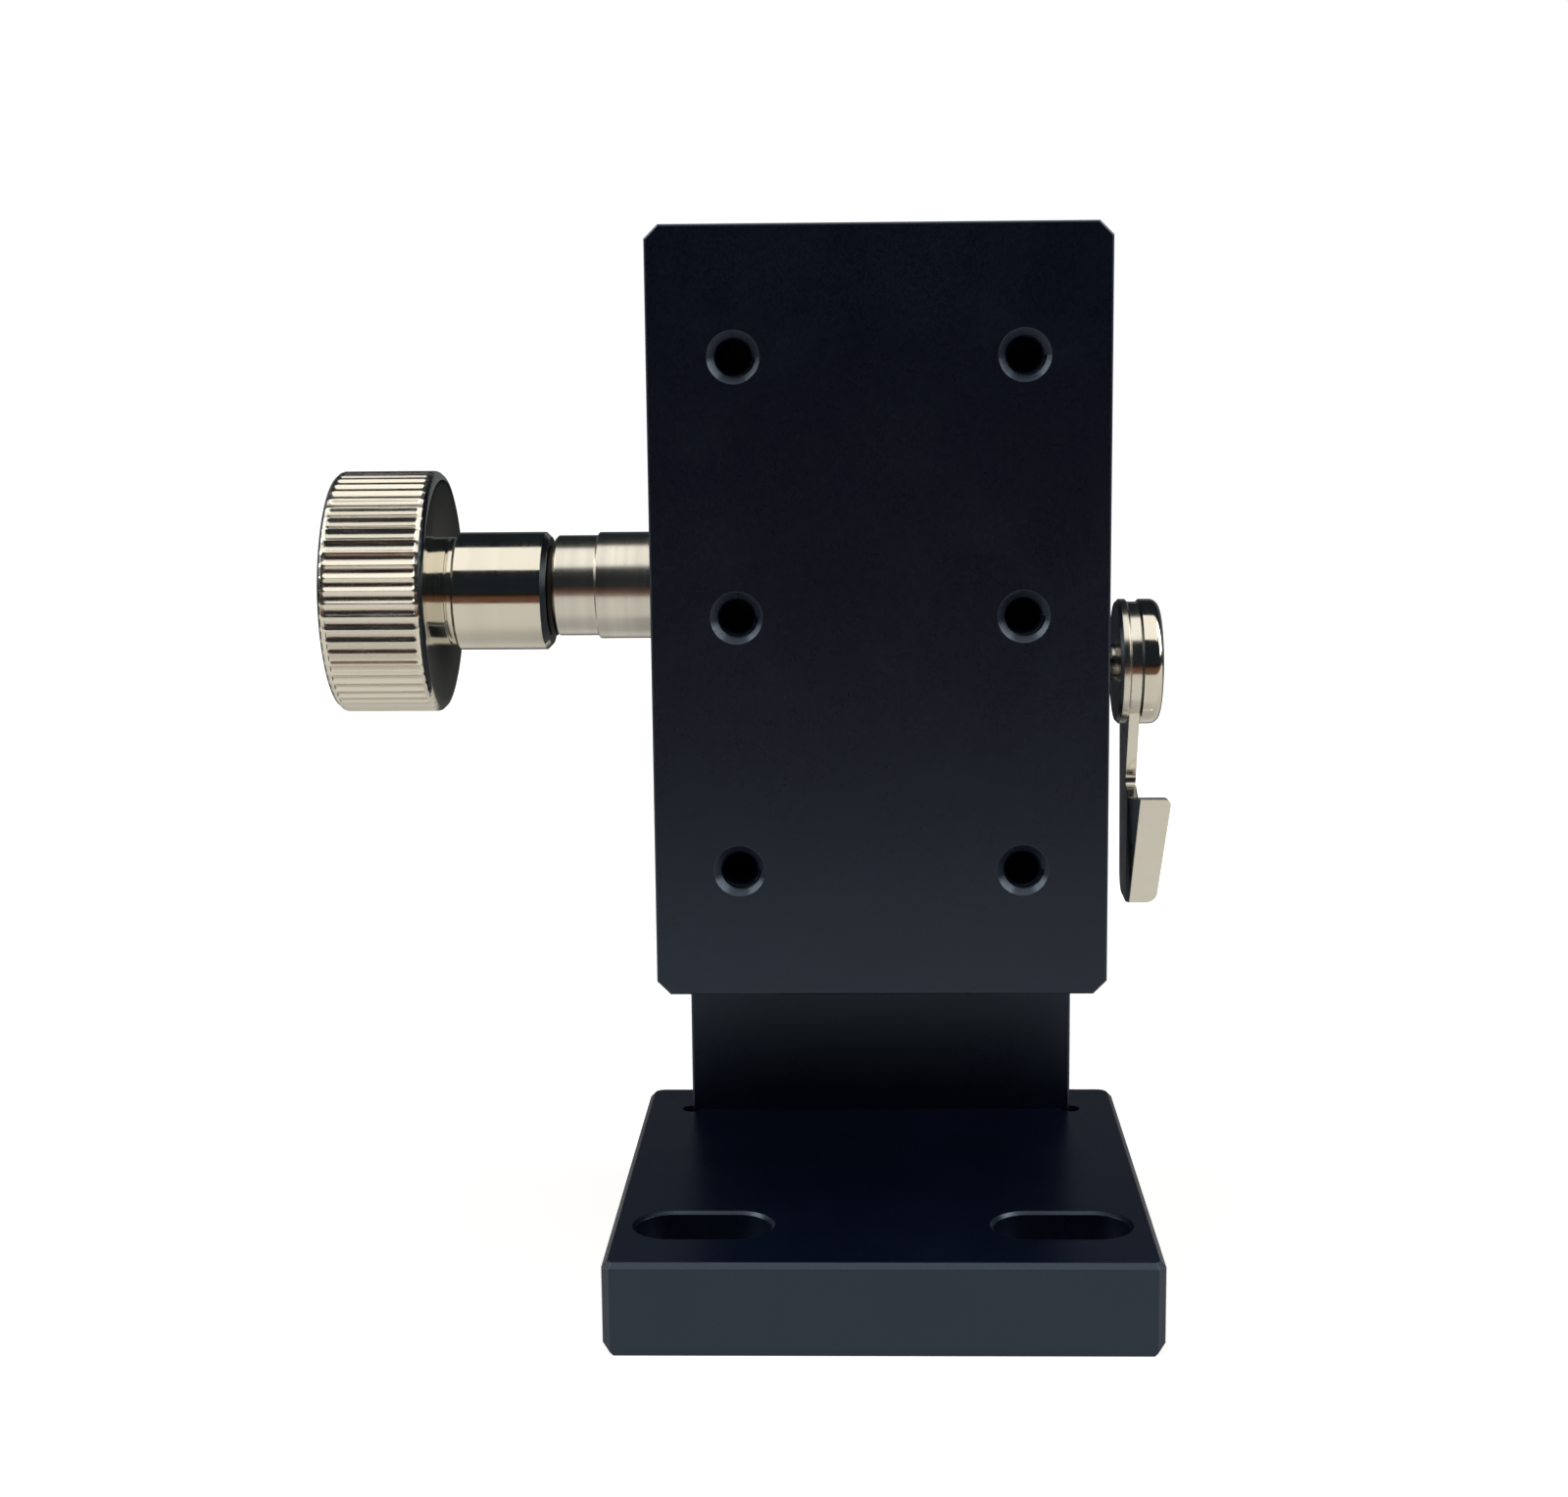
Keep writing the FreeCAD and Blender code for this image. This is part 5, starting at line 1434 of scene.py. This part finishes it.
@dataclass
class Studio:
    """Pale floor, soft lights and the room that polished metal reflects."""

    overhead_place: Vector = field(default_factory=lambda: Vector((0.0, -0.24, 0.72)))
    overhead_aim: Vector = field(default_factory=lambda: Vector((0.0, -0.20, 0.0)))
    overhead_size: tuple[float, float] = (1.3, 0.72)
    overhead_glow: float = 1.25
    side_place: tuple[float, float, float] = (0.75, -0.12, 0.52)
    side_size: tuple[float, float] = (0.40, 0.70)
    side_glow: float = 5.0
    floor_radius: float = 6.0
    floor_count: int = 96
    floor_drop: float = 0.02 * MM
    floor_colour: Colour = (0.60, 0.59, 0.57)
    floor_glow_near: float = 0.70
    floor_glow_far: float = 1.0
    glow_start: float = 0.08
    glow_end: float = 0.40
    bounce: float = 0.18
    bench_colour: Colour = (0.16, 0.075, 0.045)
    bench_start: float = 0.185
    bench_end: float = 0.20
    far_colour: Colour = (0.080, 0.085, 0.090)
    far_start: float = 0.06
    far_end: float = 0.12
    backdrop: Colour = (1.0, 1.0, 1.0)
    room: Colour = (0.013, 0.017, 0.022)
    horizon: Colour = (0.120, 0.130, 0.145)
    horizon_low: float = 0.30
    horizon_high: float = 0.42

    def build(self) -> None:
        """Builds the floor, the lights and the world."""
        centre = (CAD_BOX[0] + CAD_BOX[1]) / 2
        Softbox("overhead", self.overhead_place, self.overhead_aim, *self.overhead_size,
                self.overhead_glow).build()
        across, ahead, height = self.side_place
        for name, side in (("left_side", -1), ("right_side", 1)):
            place = Vector((side * across, ahead, height))
            Softbox(name, place, centre, *self.side_size, self.side_glow).build()
        self.build_floor()
        self.build_world()

    def build_floor(self) -> None:
        """Builds a round floor that looks evenly pale to the camera."""
        mesh = bpy.data.meshes.new("floor")
        count = self.floor_count
        radius = self.floor_radius
        points = [(0.0, 0.0, -self.floor_drop)]
        for step in range(count):
            angle = 2 * math.pi * step / count
            points.append((radius * math.cos(angle), radius * math.sin(angle), -self.floor_drop))
        faces = [(0, 1 + step, 1 + (step + 1) % count) for step in range(count)]
        mesh.from_pydata(points, [], faces)
        mesh.update()
        floor = bpy.data.objects.new("floor", mesh)
        bpy.context.scene.collection.objects.link(floor)
        mesh.materials.append(self.floor_material())

    def floor_material(self) -> bpy.types.Material:
        """Pale matt floor that looks even to the camera, and ends at a brown bench in reflections.

        Returns:
            The material.
        """
        made = bpy.data.materials.new("floor_pale")
        made.use_nodes = True
        board = Board(made.node_tree)
        shader = made.node_tree.nodes["Principled BSDF"]
        shader.inputs["Roughness"].default_value = 0.9
        shader.inputs["Specular IOR Level"].default_value = 0.1
        shader.inputs["Emission Color"].default_value = (1.0, 1.0, 1.0, 1.0)
        distance = board.vectors("LENGTH", board.object_place()).outputs["Value"]
        glow = board.spread(distance, self.glow_start, self.glow_end,
                            self.floor_glow_near, self.floor_glow_far)
        seen = board.add("LightPath").outputs["Is Camera Ray"]
        depth = board.add("SeparateXYZ")
        board.feed(depth.inputs[0], board.object_place())
        ahead = board.calculate("MULTIPLY", depth.outputs["Y"], -1.0)
        hidden = board.calculate("SUBTRACT", 1.0, seen)
        bench = board.spread(ahead, self.bench_start, self.bench_end)
        bench = board.calculate("MULTIPLY", bench, hidden)
        far = board.spread(depth.outputs["Y"], self.far_start, self.far_end)
        far = board.calculate("MULTIPLY", far, hidden)
        pale = board.mix(bench, (*self.floor_colour, 1.0), (*self.bench_colour, 1.0))
        board.feed(shader.inputs["Base Color"], board.mix(far, pale, (*self.far_colour, 1.0)))
        bounce = board.spread(board.calculate("MAXIMUM", bench, far), 0.0, 1.0, self.bounce, 0.0)
        lit = board.add("Mix", data_type="FLOAT")
        for index, source in enumerate((seen, bounce, glow)):
            board.feed(lit.inputs[(0, 2, 3)[index]], source)
        board.feed(shader.inputs["Emission Strength"], lit.outputs[0])
        return made

    def build_world(self) -> None:
        """White backdrop for the camera, and a dark room for reflections."""
        world = bpy.data.worlds.new("studio_room")
        bpy.context.scene.world = world
        world.use_nodes = True
        board = Board(world.node_tree)
        background = world.node_tree.nodes["Background"]
        seen = board.add("LightPath").outputs["Is Camera Ray"]
        way = board.add("SeparateXYZ")
        board.feed(way.inputs[0], board.add("TexCoord").outputs["Generated"])
        low = board.spread(way.outputs["Z"], self.horizon_high, self.horizon_low)
        back = board.spread(way.outputs["Y"], 0.0, 0.2)
        wall = board.calculate("MULTIPLY", low, back)
        around = board.mix(wall, (*self.room, 1.0), (*self.horizon, 1.0))
        board.feed(background.inputs["Color"], board.mix(seen, around, (*self.backdrop, 1.0)))


@dataclass
class PhotoCamera:
    """Camera fitted to the photograph by corners and hole centres of the object."""

    place: Vector = field(default_factory=lambda: Vector((-0.726, -221.618, 88.190)) * MM)
    pitch_deg: float = 8.421
    yaw_deg: float = -1.435
    roll_deg: float = 0.491
    focal_px: float = 2386.81
    right_shift_px: float = 30.6
    down_shift_px: float = -52.1
    photo_width_px: float = 1600.0
    sensor_mm: float = 36.0

    def build(self) -> None:
        """Adds the camera and makes it the scene's."""
        pitch, yaw, roll = (math.radians(turn) for turn in (self.pitch_deg, self.yaw_deg, self.roll_deg))
        ahead = Vector((math.sin(yaw) * math.cos(pitch), math.cos(yaw) * math.cos(pitch),
                        -math.sin(pitch)))
        level = Vector((math.cos(yaw), -math.sin(yaw), 0.0))
        down = ahead.cross(level)
        right = level * math.cos(roll) + down * math.sin(roll)
        up = level * math.sin(roll) - down * math.cos(roll)
        lens = bpy.data.cameras.new("photo_camera")
        lens.sensor_fit = "AUTO"
        lens.sensor_width = self.sensor_mm
        lens.lens = self.focal_px * self.sensor_mm / self.photo_width_px
        lens.shift_x = -self.right_shift_px / self.photo_width_px
        lens.shift_y = self.down_shift_px / self.photo_width_px
        lens.clip_start = 0.01
        lens.clip_end = 20.0
        camera = bpy.data.objects.new("photo_camera", lens)
        bpy.context.scene.collection.objects.link(camera)
        turn = Matrix((right, up, -ahead)).transposed().to_4x4()
        camera.matrix_world = Matrix.Translation(self.place) @ turn
        bpy.context.scene.camera = camera


def main() -> None:
    """Builds the camera, the room and every sub-assembly in order."""
    logging.basicConfig(level=logging.INFO, format="%(message)s")
    bpy.context.scene.view_settings.view_transform = "Standard"
    PhotoCamera().build()
    Studio().build()
    for assembly in (Stand(), Table(), Bush(), Knob(), Clamp()):
        assembly.build()


if __name__ == "__main__":
    main()
